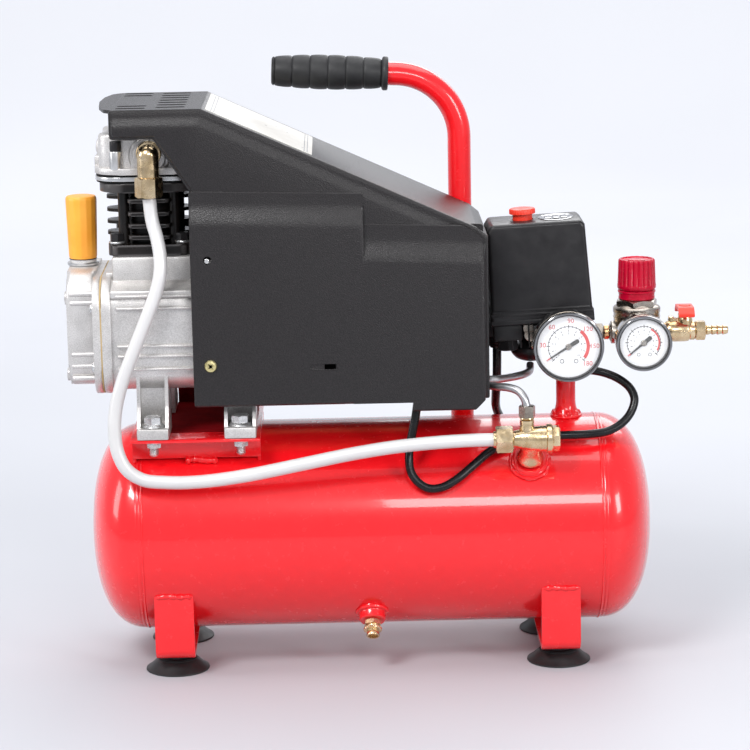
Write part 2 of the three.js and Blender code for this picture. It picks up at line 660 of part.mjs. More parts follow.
// Built upright about the switch's foot, then leant as one group.
function pressureSwitch() {
  const { x, z, left, right, halfY, top } = SWITCH;
  const at = (px, py, pz) => V(px - x, py, pz - z);
  const local = (geometry) => geometry.translate(-x, 0, -z);
  const profile = (inset) =>
    outline([
      [left + inset, z + 0.5], [right - inset, z + 0.5], [right - inset - 0.3, 267.5],
      [169.2 - inset, 268.5], [166.2 - inset, top - 3 - inset / 2], [163.7 - inset, top - inset],
      [95.5 + inset, top - inset], [92.8 + inset, top - 3 - inset / 2], [92.8 + inset, 268.5],
      [left + inset, 267.5],
    ]);
  const wall = 2.2;
  const hollow = prismY(profile(wall), wall - halfY, halfY - wall);
  const knobX = 121.3;
  const cover = cut(
    prismY(profile(0), -halfY, halfY),
    hollow,
    box(left + wall + 1, right - wall - 1, wall - halfY + 1, halfY - wall - 1, z - EPS, z + 2),
    bar(V(knobX, 0, 320), V(knobX, 0, 340), 8.2, 20),
  );
  const dish = [
    [0, 226.2], [7, 226.2], [12.5, 228.6], [16, 233], [16.5, 238],
    [10, 241], [8.5, 245], [8.5, 262], [0, 262],
  ];
  const base = join(
    box(left + 4.6, right - 5, 3.4 - halfY, halfY - 3.4, z + 0.8, z + 4),
    turned(dish, Z, V(123.5, 3, 0), 20),
    box(104, 156, -15, 15, z + 3, 300),
  );
  const knob = turned(
    [[0, 312], [7.5, 312], [7.5, 339.3], [9.9, 339.7], [9.9, 343.4], [9, 344.1], [0, 344.1]],
    Z, V(knobX, 0, 0), 20,
  );
  const gland = (gx, gy) =>
    turned(
      [[4.4, 236.8], [6, 236.8], [6.2, 243], [6.8, 243.4], [6.8, z + 0.4], [4.4, z + 0.4], [4.4, 236.8]],
      Z, V(gx, gy, 0), 16,
    );
  const made = group(
    part("switch_cover", local(cover), BLACK),
    part("switch_base", local(base), BLACK),
    part("switch_knob", local(knob), paint(0xf23a22, 0.45)),
    part("mains_gland", local(gland(MAINS_GLAND.x, MAINS_GLAND.y)), BLACK),
    part("motor_gland", local(gland(MOTOR_GLAND.x, MOTOR_GLAND.y)), BLACK),
  );
  made.position.set(x, 0, z);
  made.rotation.y = -rad(SWITCH_LEAN);
  return made;
}

const MAINS_GLAND = { x: 97, y: 8 };
const MOTOR_GLAND = { x: 132, y: -19 };

// ---- gauges -----------------------------------------------------------------------------------
// A gauge about its own centre: the face looks along -Y and the stem runs back along +Y.
function gauge(name, r, depth, stem, needleDegrees) {
  const dialAt = -depth + 4.5;
  const caseProfile = [
    [0, 0], [r - 2, 0], [r - 0.6, -2], [r - 0.6, -depth + 3], [r, -depth + 2.6], [r, -depth], [r - 2, -depth],
    [r - 2.4, dialAt], [0, dialAt],
  ];
  const shell = turned(caseProfile, Y, V(0, 0, 0), 32);
  const neck = bar(V(0, -1, 0), V(0, stem, 0), 4.8, 12);
  const hex = bar(V(0, -1, 0), V(0, Math.min(stem - 2, 6), 0), 6.6, 6);
  const pivot = bar(V(0, dialAt + 1, 0), V(0, dialAt - 1.6, 0), 0.9, 8);
  const hub = turned(ring(1.2, 2.4, 0, 0.9), Y, V(0, dialAt - 1.5, 0), 12);
  const tip = r * 0.66;
  const tail = -r * 0.3;
  const pointer = outline([[tail, -1], [tail, 1], [tip, 0.35], [tip, -0.35]]);
  const blade = prismY(pointer, dialAt - 1.3, dialAt - 0.7);
  const eye = bar(V(0, dialAt, 0), V(0, dialAt - 2, 0), 1.2, 12);
  const needle = cut(join(hub, blade), eye);
  needle.rotateY(-rad(needleDegrees));
  return group(
    part(`${name}_case`, join(shell, neck, hex, pivot), STEEL),
    part(`${name}_needle`, needle, RUBBER),
  );
}

function gauges() {
  const tank = gauge("tank_gauge", 26.4, 26, 21.6, 212);
  tank.position.set(147.8, -33, PORT_Z);
  const outlet = gauge("outlet_gauge", 21.1, 24, 8.6, 219);
  outlet.position.set(REG_X + 0.4, -27, PORT_Z);
  return [tank, outlet];
}

// ---- regulator, outlet -------------------------------------------------------------------------
function regulator() {
  const at = (z) => V(0, 0, z);
  const profile = [
    [0, 226], [8, 226], [11.5, 229], [12, 234], [17.6, 238], [17.6, 265.5], [16, 268.6], [0, 268.6],
  ];
  const shell = turned(profile, Z, V(0, 0, 0), 24);
  const ports = [V(-20, 0, 0), V(18, 0, 0), V(0, -18, 0)].map((p) =>
    bar(at(PORT_Z), p.clone().setZ(PORT_Z), 8.6, 14),
  );
  const neck = bar(at(267), at(272.2), 14.3, 6);
  const made = group(
    part("regulator_body", cut(join(shell, neck, ...ports), bar(at(256), at(273), 6.2, 16)), STEEL),
    part("regulator_lock_ring", turned(ring(6.4, 14.2, 272.5, 279.2), Z, V(0, 0, 0), 24), KNOB_RED),
    regulatorKnob(),
  );
  made.position.x = REG_X;
  return made;
}

function regulatorKnob() {
  const flutes = 12;
  const star = new THREE.Shape(
    Array.from({ length: flutes * 2 }, (_, i) => {
      const a = (Math.PI * i) / flutes;
      const r = i % 2 ? 13.9 : 14.8;
      return new THREE.Vector2(r * Math.cos(a), r * Math.sin(a));
    }),
  );
  const cap = prismZ(star, 279.6, 303);
  const stem = bar(V(0, 0, 257), V(0, 0, 280), 5.8, 14);
  return part("regulator_knob", join(cap, stem), KNOB_RED);
}

function safetyValve() {
  const at = (y) => V(154, y, PORT_Z);
  const start = BLOCK.halfY + GAP;
  const body = cut(
    join(bar(at(start), at(18), 5, 12), bar(at(15), at(21), 7.4, 6), bar(at(20), at(34), 5.6, 16)),
    bar(at(27), at(35), 2.2, 10),
  );
  const pull = join(
    bar(at(28), at(39), 1.5, 8),
    new THREE.TorusGeometry(7, 1.1, 6, 16).rotateY(Math.PI / 2).translate(154, 45.5, PORT_Z),
  );
  return [part("safety_valve", body, BRASS), part("safety_valve_ring", pull, STEEL)];
}

function ballValve() {
  const at = (x) => V(x, 0, PORT_Z);
  const stemX = 241.5;
  const body = join(
    bar(at(REG_X + 18.3), at(228), 6.4, 16),
    bar(at(227), at(246), 8, 20),
    bar(at(245), at(249.3), 6.8, 16),
    bar(V(stemX, 0, 250), V(stemX, 0, 259.6), 5.4, 16),
  );
  const wings = outline([
    [-14.2, 258.4], [-14.2, 261.6], [-9, 266], [9, 266],
    [14.2, 261.6], [14.2, 258.4], [8.6, 263], [-8.6, 263],
  ]);
  const lever = join(
    bar(V(stemX, 0, 259.9), V(stemX, 0, 264), 4.6, 12),
    prismX(wings, stemX - 6, stemX + 6),
  );
  const barbs = Array.from({ length: 4 }, (_, i) => 257.5 + i * 4.2);
  const profile = [[0, 249.6], [8, 249.6], [8, 256.8], [3, 256.8]];
  barbs.forEach((x) => profile.push([3, x], [3.7, x + 0.8], [3, x + 4]));
  profile.push([2.8, 274.5], [0, 274.5]);
  const barb = turned(profile, X, V(0, 0, PORT_Z), 12);
  return [
    part("ball_valve_body", body, BRASS),
    part("ball_valve_lever", lever, KNOB_RED),
    part("hose_barb", barb, BRASS),
  ];
}

// ---- cables ------------------------------------------------------------------------------------
const MOTOR_CABLE_ROUTE = [
  [35.6, -59, 220], [34.6, -60, 211], [32.1, -61, 194.4], [28.8, -63, 179.6], [27, -67, 166.8],
  [28.2, -71, 157], [33.2, -73.5, 149.7], [41.3, -74.5, 144.9], [51.9, -73, 145.4], [63.3, -69, 150.8],
  [75, -62, 158.6], [87.5, -55, 167.2], [100.6, -50, 173], [118.9, -48, 176.5], [141.5, -49, 177.5],
  [164.2, -48, 177.8], [178.1, -45, 179.1], [189.1, -41, 184.1], [196.3, -37, 191.6],
  [199.4, -33, 200.8], [196.4, -29, 208.5], [188.5, -25, 214.8], [177.5, -22, 219.3], [166, -22, 221.5],
  [154, -21.5, 221], [144, -20.8, 221.5], [137, -19.8, 226], [133.6, -19.2, 232], [132.8, -19, 238],
];
const COIL = { x: 101.4, y: 152, r: 38.6, halfWidth: 7, height: 21 };
const MAINS_ROUTE = [
  [98, 8, 236.6], [98, 9, 226], [97.9, 13, 210], [97.5, 22.5, 194.5], [98.5, 37, 181.5], [103, 52, 169.5],
  [110, 66, 155.5], [119, 77.5, 137], [128, 84, 115], [135.5, 86, 92], [140.5, 86.5, 66], [143, 87, 42],
  [143.5, 89.5, 22], [143.5, 97, 9], [143.5, 108, 4.2], [143.5, 122, 3.6],
];

function motorCable() {
  return part("motor_cable", sweep(spline(MOTOR_CABLE_ROUTE), CORD_R - 0.2, 8, 62), RUBBER);
}

function mainsCord() {
  const tube = sweep(spline(MAINS_ROUTE), CORD_R, 8, 36);
  const { x, y, r, halfWidth, height } = COIL;
  const coil = turned(ring(r - halfWidth, r + halfWidth, 0.1, height), Z, V(x, y, 0), 28);
  return [part("mains_cord", tube, RUBBER), part("mains_cord_coil", coil, RUBBER)];
}

// The plug lies flat on the floor where the last turn leaves the coil.
function mainsPlug() {
  const y = COIL.y + COIL.r + 3.5; // in line with the outer turns
  const axisZ = 9;
  const body = prismZ(roundedRect(16, 12, 6, 26, y), 0.1, 2 * axisZ);
  const relief = bar(V(41, y, axisZ), V(56, y, axisZ), 6, 12, 4.4);
  const pins = [-6, 6].map((d) => bar(V(12, y + d, axisZ), V(-8, y + d, axisZ), 2.4, 10));
  return part("mains_plug", join(body, relief, ...pins), RUBBER);
}

// ---- assembly -----------------------------------------------------------------------------------
const compressor = group(
  tankShell(),
  dishedEnd("tank_end_left", SHELL.left, -1),
  dishedEnd("tank_end_right", SHELL.right, 1),
  strapLeg("leg_left", LEG_X[0]),
  strapLeg("leg_right", LEG_X[1]),
  ...feet(),
  motorBaseBracket(),
  ...drainCock(),
  ...handle(),
  crankcase(),
  crankcaseCover(),
  oilSightGlass(),
  oilBreatherCap(),
  cylinder(),
  valvePlate(),
  cylinderHead(),
  headElbow(),
  dischargeTube(),
  ...lugBolts(),
  piston(),
  connectingRod(),
  crankshaft(),
  rotor(),
  stator(),
  coolingFan(),
  shroud(),
  checkValve(),
  unloaderTube(),
  manifoldPost(),
  manifoldBlock(),
  hexNipple(),
  pressureSwitch(),
  ...gauges(),
  regulator(),
  ...safetyValve(),
  ...ballValve(),
);

// The origin goes to the bottom centre of the object itself, its loose cords left out.
const extent = new THREE.Box3().setFromObject(compressor);
compressor.add(motorCable(), ...mainsCord(), mainsPlug());
const middle = extent.getCenter(V(0, 0, 0));
compressor.position.set(-middle.x, -middle.y, -extent.min.z);

export default group(compressor);
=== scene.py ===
"""A portable piston air compressor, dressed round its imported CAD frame.

Lengths below are millimetres in the receiver's own frame: X along the receiver, Y away from the
gauges with 0 on the receiver's axis, Z up from the floor. ROW turns them into the row frame's metres.
"""

import math

import bmesh
import bpy
from mathutils import Matrix, Quaternion, Vector


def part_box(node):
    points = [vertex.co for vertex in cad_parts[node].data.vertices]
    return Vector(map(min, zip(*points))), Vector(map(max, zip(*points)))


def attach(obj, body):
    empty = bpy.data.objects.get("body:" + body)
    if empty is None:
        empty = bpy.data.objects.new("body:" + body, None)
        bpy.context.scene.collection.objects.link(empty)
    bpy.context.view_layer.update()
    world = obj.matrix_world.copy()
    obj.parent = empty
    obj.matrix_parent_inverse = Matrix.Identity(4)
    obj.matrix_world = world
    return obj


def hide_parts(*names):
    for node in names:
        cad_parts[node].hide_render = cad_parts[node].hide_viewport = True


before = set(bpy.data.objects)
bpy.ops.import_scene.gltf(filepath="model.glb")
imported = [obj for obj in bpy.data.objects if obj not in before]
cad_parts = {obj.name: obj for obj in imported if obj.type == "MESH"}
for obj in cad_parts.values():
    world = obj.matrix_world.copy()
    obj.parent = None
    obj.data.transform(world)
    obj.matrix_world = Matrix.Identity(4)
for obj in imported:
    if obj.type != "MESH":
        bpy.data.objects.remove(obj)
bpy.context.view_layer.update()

MM = 0.001
SHELL_LEFT, SHELL_RIGHT = -173.6, 171.6
plate_low, plate_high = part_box("motor_base_bracket")
ROW = Matrix.Translation(
    (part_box("tank_shell")[0].x - SHELL_LEFT * MM, (plate_low.y + plate_high.y) / 2, 0)
) @ Matrix.Scale(MM, 4)


def row(x, y, z):
    return ROW @ Vector((x, y, z))


# ---- shapes: each makes a mesh in millimetres ---------------------------------------------------
X, Y, Z = Vector((1, 0, 0)), Vector((0, 1, 0)), Vector((0, 0, 1))


def mesh_of(bm):
    bmesh.ops.recalc_face_normals(bm, faces=bm.faces)
    mesh = bpy.data.meshes.new("shape")
    bm.to_mesh(mesh)
    bm.free()
    return mesh


def moved(mesh, matrix):
    mesh.transform(matrix)
    if matrix.determinant() < 0:
        mesh.flip_normals()
    return mesh


def mirrored_y(mesh):
    return moved(mesh.copy(), Matrix.Scale(-1, 4, Y))


def fillet(points, radius=1.0, steps=4):
    """The closed outline with each corner rounded. A point (a, b, r) has its own radius."""
    out = []
    count = len(points)
    for i, point in enumerate(points):
        here = Vector(point[:2])
        before = Vector(points[i - 1][:2]) - here
        after = Vector(points[(i + 1) % count][:2]) - here
        r = point[2] if len(point) > 2 else radius
        turn = before.angle(after, math.pi)
        reach = min(r / max(math.tan(turn / 2), 1e-6), before.length * 0.49, after.length * 0.49)
        if r <= 0 or turn > math.radians(177):
            out.append(here)
            continue
        start = here + before.normalized() * reach
        end = here + after.normalized() * reach
        for k in range(steps + 1):
            t = k / steps
            out.append(start * (1 - t) ** 2 + here * 2 * t * (1 - t) + end * t * t)
    return out


def prism(outline, axis, low, high, edge=0.0, steps=2):
    """An outline swept along Z (x, y), Y (x, z) or X (y, z), its end edges rounded by edge."""
    place = {
        "Z": lambda a, b, h: (a, b, h),
        "Y": lambda a, b, h: (a, h, b),
        "X": lambda a, b, h: (h, a, b),
    }[axis]
    bm = bmesh.new()
    ends = []
    for h in (low, high):
        ends.append([bm.verts.new(place(p[0], p[1], h)) for p in outline])
    caps = [bm.faces.new(ring) for ring in ends]
    count = len(outline)
    for i in range(count):
        j = (i + 1) % count
        bm.faces.new((ends[0][i], ends[0][j], ends[1][j], ends[1][i]))
    if edge:
        rims = {e for cap in caps for e in cap.edges}
        bmesh.ops.bevel(bm, geom=list(rims), offset=edge, segments=steps, profile=0.5, affect="EDGES")
    return mesh_of(bm)


def box(x0, x1, y0, y1, z0, z1, edge=0.0, steps=2):
    bm = bmesh.new()
    bmesh.ops.create_cube(bm, size=1)
    size = Vector((x1 - x0, y1 - y0, z1 - z0))
    middle = Vector((x0 + x1, y0 + y1, z0 + z1)) / 2
    bmesh.ops.transform(bm, verts=bm.verts, matrix=Matrix.Translation(middle) @ Matrix.Diagonal((*size, 1)))
    if edge:
        bmesh.ops.bevel(bm, geom=list(bm.edges), offset=edge, segments=steps, profile=0.5, affect="EDGES")
    return mesh_of(bm)


def lathe(profile, axis=Z, origin=(0, 0, 0), segments=64):
    """Turns [radius, height] pairs round an axis. A profile that ends where it starts is a ring."""
    closed = tuple(profile[0]) == tuple(profile[-1])
    bm = bmesh.new()
    rings = []
    for r, h in profile[:-1] if closed else profile:
        if r < 1e-6:
            rings.append([bm.verts.new((0, 0, h))])
            continue
        angles = [2 * math.pi * i / segments for i in range(segments)]
        rings.append([bm.verts.new((r * math.cos(a), r * math.sin(a), h)) for a in angles])
    pairs = list(zip(rings, rings[1:]))
    if closed:
        pairs.append((rings[-1], rings[0]))
    for low, high in pairs:
        for i in range(segments):
            j = (i + 1) % segments
            corners = [low[i % len(low)], low[j % len(low)], high[j % len(high)], high[i % len(high)]]
            kept = list(dict.fromkeys(corners))
            if len(kept) > 2:
                bm.faces.new(kept)
    mesh = mesh_of(bm)
    turn = Z.rotation_difference(Vector(axis))
    return moved(mesh, Matrix.Translation(origin) @ turn.to_matrix().to_4x4())


def rod(start, end, r, segments=32, edge=0.0, end_r=None):
    """A round bar between two points, with rounded rims."""
    start, end = Vector(start), Vector(end)
    length = (end - start).length
    last = r if end_r is None else end_r
    profile = [(0, 0), (r, 0), (last, length), (0, length)]
    if edge:
        quarter = [(math.sin(a), math.cos(a)) for a in (0, math.pi / 6, math.pi / 3, math.pi / 2)]
        profile = [(0, 0)]
        profile += [(r - edge + edge * s, edge - edge * c) for s, c in quarter]
        profile += [(last - edge + edge * c, length - edge + edge * s) for s, c in quarter]
        profile.append((0, length))
    return lathe(profile, end - start, start, segments)


def hexagon(start, end, across, edge=0.5, spin=0.0):
    """A hexagon bar with its ends turned down to a cone, as a nut has."""
    start, end = Vector(start), Vector(end)
    length = (end - start).length
    corner = across / math.sqrt(3)
    cut = corner - across / 2
    solid = prism(
        [(corner * math.cos(math.pi * i / 3 + spin), corner * math.sin(math.pi * i / 3 + spin)) for i in range(6)],
        "Z", 0, length,
    )
    chamfer = lathe(
        [(0, 0), (corner - cut - edge * 0.2, 0), (corner + 0.2, cut * 0.75), (corner + 0.2, length - cut * 0.75),
         (corner - cut - edge * 0.2, length), (0, length)],
        segments=48,
    )
    made = combine(solid, [chamfer], "INTERSECT")
    turn = Z.rotation_difference(end - start)
    return moved(made, Matrix.Translation(start) @ turn.to_matrix().to_4x4())


def smooth_path(points, per=6):
    """A centripetal spline through the points."""
    knots = [Vector(p) for p in points]
    knots = [knots[0] * 2 - knots[1], *knots, knots[-1] * 2 - knots[-2]]
    out = []
    for i in range(1, len(knots) - 2):
        p = knots[i - 1 : i + 3]
        t = [0.0]
        for a, b in zip(p, p[1:]):
            t.append(t[-1] + max((b - a).length ** 0.5, 1e-6))
        for k in range(per):
            u = t[1] + (t[2] - t[1]) * k / per
            a1, a2, a3 = (
                p[j] * ((t[j + 1] - u) / (t[j + 1] - t[j])) + p[j + 1] * ((u - t[j]) / (t[j + 1] - t[j]))
                for j in range(3)
            )
            b1 = a1 * ((t[2] - u) / (t[2] - t[0])) + a2 * ((u - t[0]) / (t[2] - t[0]))
            b2 = a2 * ((t[3] - u) / (t[3] - t[1])) + a3 * ((u - t[1]) / (t[3] - t[1]))
            out.append(b1 * ((t[2] - u) / (t[2] - t[1])) + b2 * ((u - t[1]) / (t[2] - t[1])))
    out.append(knots[-2])
    return out


def tube(path, r, segments=20, radii=None):
    """A round tube with closed ends along a fine path."""
    path = [Vector(p) for p in path]
    bm = bmesh.new()
    heading = (path[1] - path[0]).normalized()
    side = heading.orthogonal().normalized()
    rings = []
    for i, p in enumerate(path):
        ahead = (path[min(i + 1, len(path) - 1)] - path[max(i - 1, 0)]).normalized()
        side = heading.rotation_difference(ahead) @ side
        side = (side - ahead * side.dot(ahead)).normalized()
        heading = ahead
        up = heading.cross(side)
        size = radii[i] if radii else r
        angles = [2 * math.pi * k / segments for k in range(segments)]
        rings.append([bm.verts.new(p + (side * math.cos(a) + up * math.sin(a)) * size) for a in angles])
    for low, high in zip(rings, rings[1:]):
        for i in range(segments):
            j = (i + 1) % segments
            bm.faces.new((low[i], low[j], high[j], high[i]))
    bm.faces.new(rings[0])
    bm.faces.new(rings[-1])
    return mesh_of(bm)


def join(*meshes):
    """One mesh of several, each keeping the material index of its faces."""
    bm = bmesh.new()
    for mesh in meshes:
        bm.from_mesh(mesh)
    out = bpy.data.meshes.new("joined")
    bm.to_mesh(out)
    bm.free()
    return out


def painted(mesh, index):
    mesh.polygons.foreach_set("material_index", [index] * len(mesh.polygons))
    return mesh


def combine(base, tools, operation="DIFFERENCE"):
    """Booleans the tools into the base mesh."""
    body = bpy.data.objects.new("base", base)
    bpy.context.scene.collection.objects.link(body)
    helpers = []
    for tool in tools:
        helper = bpy.data.objects.new("tool", tool)
        bpy.context.scene.collection.objects.link(helper)
        modifier = body.modifiers.new("cut", "BOOLEAN")
        modifier.operation = operation
        modifier.solver = "MANIFOLD"
        modifier.object = helper
        helpers.append(helper)
    bpy.context.view_layer.update()
    evaluated = body.evaluated_get(bpy.context.evaluated_depsgraph_get())
    made = bpy.data.meshes.new_from_object(evaluated)
    for helper in [body, *helpers]:
        bpy.data.objects.remove(helper)
    return made


union = lambda base, *tools: combine(base, tools, "UNION")


def piece(name, body, mesh, materials, replaces=(), bevel=0.0, sharp=32, segments=2):
    """A finished piece: put in the row frame, shaded, riding on its body."""
    moved(mesh, ROW)
    made = bpy.data.objects.new(name, mesh)
    bpy.context.scene.collection.objects.link(made)
    mesh.materials.clear()
    for m in materials if isinstance(materials, (list, tuple)) else [materials]:
        mesh.materials.append(m)
    mesh.shade_smooth()
    if bevel:
        rounding = made.modifiers.new("edges", "BEVEL")
        rounding.width = bevel * MM
        rounding.segments = segments
        rounding.limit_method = "ANGLE"
        rounding.angle_limit = math.radians(sharp)
        rounding.use_clamp_overlap = True
        rounding.harden_normals = True
    else:
        mesh.set_sharp_from_angle(angle=math.radians(sharp))
    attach(made, body)
    if replaces:
        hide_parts(*([replaces] if isinstance(replaces, str) else replaces))
    return made


# ---- materials -------------------------------------------------------------------------------------
class Nodes:
    """A small helper for writing a material's node tree."""

    def __init__(self, name):
        self.material = bpy.data.materials.new(name)
        self.material.use_nodes = True
        self.tree = self.material.node_tree
        self.shader = self.tree.nodes["Principled BSDF"]
        self.place = self.add("ShaderNodeTexCoord").outputs["Object"]

    def add(self, kind, **values):
        node = self.tree.nodes.new(kind)
        for key, value in values.items():
            setattr(node, key, value)
        return node

    def link(self, source, target):
        self.tree.links.new(source, target)

    def noise(self, scale, detail=3.0, roughness=0.5, stretch=None):
        node = self.add("ShaderNodeTexNoise")
        node.inputs["Scale"].default_value = scale
        node.inputs["Detail"].default_value = detail
        node.inputs["Roughness"].default_value = roughness
        source = self.place
        if stretch:
            mapping = self.add("ShaderNodeMapping")
            mapping.inputs["Scale"].default_value = stretch
            self.link(self.place, mapping.inputs["Vector"])
            source = mapping.outputs["Vector"]
        self.link(source, node.inputs["Vector"])
        return node.outputs["Fac"]

    def span(self, fac, low, high, start=0.3, end=0.7):
        """A value from low to high as fac goes from start to end."""
        node = self.add("ShaderNodeMapRange")
        for key, value in {"From Min": start, "From Max": end, "To Min": low, "To Max": high}.items():
            node.inputs[key].default_value = value
        self.link(fac, node.inputs["Value"])
        return node.outputs["Result"]

    def blend(self, fac, dark, light):
        node = self.add("ShaderNodeMix", data_type="RGBA")
        node.inputs["A"].default_value = (*dark, 1)
        node.inputs["B"].default_value = (*light, 1)
        self.link(fac, node.inputs["Factor"])
        return node.outputs["Result"]

    def bump(self, *layers):
        """Stacks (height, strength, distance in mm) layers into the shader's normal."""
        normal = None
        for height, strength, distance in layers:
            node = self.add("ShaderNodeBump")
            node.inputs["Strength"].default_value = strength
            node.inputs["Distance"].default_value = distance * MM
            self.link(height, node.inputs["Height"])
            if normal:
                self.link(normal, node.inputs["Normal"])
            normal = node.outputs["Normal"]
        self.link(normal, self.shader.inputs["Normal"])


def surface(name, dark, light, rough, metal=0.0, grain=(900, 0.25, 0.1), mottle=(40, 0.35, 0.65),
            rough_span=0.08, coat=0.0, coat_rough=0.1, stretch=None, wear=None, specular=None):
    """The shared make-up of the materials: mottled colour, uneven gloss, fine relief, worn edges."""
    n = Nodes(name)
    patches = n.noise(mottle[0], 5.0, 0.6)
    colour = n.blend(n.span(patches, 0, 1, mottle[1], mottle[2]), dark, light)
    fine = n.noise(grain[0], 4.0, 0.6, stretch)
    gloss = n.span(n.noise(mottle[0] * 2.7, 4.0, 0.6), rough - rough_span, rough + rough_span)
    if wear:
        pointed = n.add("ShaderNodeNewGeometry").outputs["Pointiness"]
        edge = n.span(pointed, 0, 1, wear[1], wear[2])
        mixed = n.add("ShaderNodeMix", data_type="RGBA")
        n.link(edge, mixed.inputs["Factor"])
        n.link(colour, mixed.inputs["A"])
        mixed.inputs["B"].default_value = (*wear[0], 1)
        colour = mixed.outputs["Result"]
    n.link(colour, n.shader.inputs["Base Color"])
    n.link(gloss, n.shader.inputs["Roughness"])
    n.shader.inputs["Metallic"].default_value = metal
    n.shader.inputs["Coat Weight"].default_value = coat
    n.shader.inputs["Coat Roughness"].default_value = coat_rough
    if specular is not None:
        n.shader.inputs["Specular IOR Level"].default_value = specular
    n.bump((fine, grain[1], grain[2]))
    return n.material


def red_enamel():
    n = Nodes("red_enamel")
    peel = n.noise(150, 4.0, 0.6)
    n.link(n.blend(n.span(peel, 0, 1), (0.80, 0.005, 0.010), (0.84, 0.007, 0.012)), n.shader.inputs["Base Color"])
    n.link(n.span(peel, 0.24, 0.28), n.shader.inputs["Roughness"])
    n.shader.inputs["Specular IOR Level"].default_value = 0.35
    n.shader.inputs["Coat Weight"].default_value = 0.7
    n.shader.inputs["Coat Roughness"].default_value = 0.05
    n.bump((n.noise(300, 2.0, 0.5), 0.11, 0.3), (n.noise(1500, 2.0, 0.5), 0.04, 0.1))
    return n.material


def moulded_black(name="moulded_black", tone=1.0):
    n = Nodes(name)
    cells = n.add("ShaderNodeTexVoronoi")
    cells.inputs["Scale"].default_value = 1150
    n.link(n.place, cells.inputs["Vector"])
    speck = n.noise(900, 4.0, 0.7)
    low = tuple(c * tone for c in (0.004, 0.0032, 0.0035))
    high = tuple(c * tone for c in (0.024, 0.020, 0.021))
    n.shader.inputs["Specular IOR Level"].default_value = 0.42
    n.link(n.blend(n.span(speck, 0, 1, 0.35, 0.75), low, high), n.shader.inputs["Base Color"])
    n.link(n.span(speck, 0.46, 0.28), n.shader.inputs["Roughness"])
    n.bump((cells.outputs["Distance"], 0.6, 0.3), (n.noise(2200, 3.0, 0.6), 0.35, 0.12))
    return n.material


def cast_aluminium():
    n = Nodes("cast_aluminium")
    sand = n.noise(1300, 5.0, 0.7)
    cloud = n.noise(28, 5.0, 0.65)
    tone = n.blend(n.span(cloud, 0, 1, 0.3, 0.7), (0.60, 0.58, 0.565), (0.90, 0.88, 0.865))
    speckled = n.add("ShaderNodeMix", data_type="RGBA", blend_type="MULTIPLY")
    speckled.inputs["Factor"].default_value = 0.7
    n.link(tone, speckled.inputs["A"])
    n.link(n.blend(n.span(sand, 0, 1, 0.35, 0.7), (0.52, 0.51, 0.50), (1, 1, 1)), speckled.inputs["B"])
    n.link(speckled.outputs["Result"], n.shader.inputs["Base Color"])
    n.link(n.span(sand, 0.5, 0.34), n.shader.inputs["Roughness"])
    n.shader.inputs["Metallic"].default_value = 0.7
    n.bump((sand, 0.5, 0.25), (n.noise(60, 3.0), 0.15, 0.6))
    return n.material


def brass(name="brass", dark=(0.54, 0.385, 0.20), light=(0.91, 0.73, 0.48)):
    return surface(name, dark, light, 0.24, 1.0, grain=(700, 0.16, 0.1), mottle=(90, 0.3, 0.7), rough_span=0.09)


def dial_face():
    return surface("dial_white", (0.80, 0.80, 0.81), (0.86, 0.86, 0.86), 0.5, grain=(600, 0.03, 0.05))


def glass(name, tint=(1, 1, 1), rough=0.02, alpha=0.06):
    n = Nodes(name)
    n.shader.inputs["Base Color"].default_value = (*tint, 1)
    n.shader.inputs["Alpha"].default_value = alpha
    n.shader.inputs["IOR"].default_value = 1.46
    smear = n.noise(70, 3.0)
    n.link(n.span(smear, rough, rough + 0.05), n.shader.inputs["Roughness"])
    n.bump((smear, 0.03, 0.2))
    return n.material


RED = red_enamel()
# A dark red that paints the shade falling under the crankcase and the shroud.
SHADED_RED = surface("painted_shade_red", (0.12, 0.002, 0.004), (0.19, 0.004, 0.006), 0.85, specular=0.02)
SHROUD_BLACK = moulded_black()
SMOOTH_BLACK = surface("smooth_black", (0.008, 0.007, 0.008), (0.016, 0.015, 0.016), 0.36, grain=(1300, 0.12, 0.08), specular=0.36)
RUBBER = surface("rubber", (0.010, 0.010, 0.011), (0.022, 0.022, 0.023), 0.5, grain=(800, 0.25, 0.12), specular=0.35)
CORD_BLACK = surface("cord_black", (0.003, 0.003, 0.004), (0.008, 0.008, 0.009), 0.26, grain=(500, 0.1, 0.1), specular=0.3)
CAST = cast_aluminium()
MACHINED = surface("machined", (0.52, 0.52, 0.52), (0.68, 0.68, 0.68), 0.3, 0.95, grain=(1200, 0.12, 0.06))
ZINC = surface("zinc", (0.48, 0.48, 0.49), (0.74, 0.74, 0.73), 0.28, 0.85, grain=(900, 0.15, 0.08), mottle=(120, 0.3, 0.7))
YELLOW_ZINC = surface("yellow_zinc", (0.62, 0.52, 0.22), (0.80, 0.72, 0.42), 0.28, 0.95, grain=(900, 0.12, 0.08))
IRON = surface("black_iron", (0.002, 0.002, 0.002), (0.011, 0.008, 0.007), 0.32, 0.0, specular=0.3, grain=(1000, 0.45, 0.2),
               wear=((0.16, 0.15, 0.15), 0.52, 0.62))
STEEL = surface("steel", (0.36, 0.36, 0.37), (0.58, 0.58, 0.59), 0.34, 1.0, grain=(900, 0.2, 0.1), mottle=(60, 0.3, 0.7))
DARK_NICKEL = surface("dark_nickel", (0.26, 0.22, 0.18), (0.50, 0.46, 0.41), 0.28, 1.0, grain=(1100, 0.2, 0.1),
                      mottle=(70, 0.3, 0.7))
BRASS = brass()
COPPERY = brass("coppery_brass", (0.62, 0.30, 0.12), (0.86, 0.55, 0.30))
WHITE_TUBE = surface("white_tube", (0.58, 0.57, 0.565), (0.65, 0.64, 0.635), 0.36, 0.1, grain=(300, 0.12, 0.2),
                     mottle=(16, 0.3, 0.7), coat=0.2)
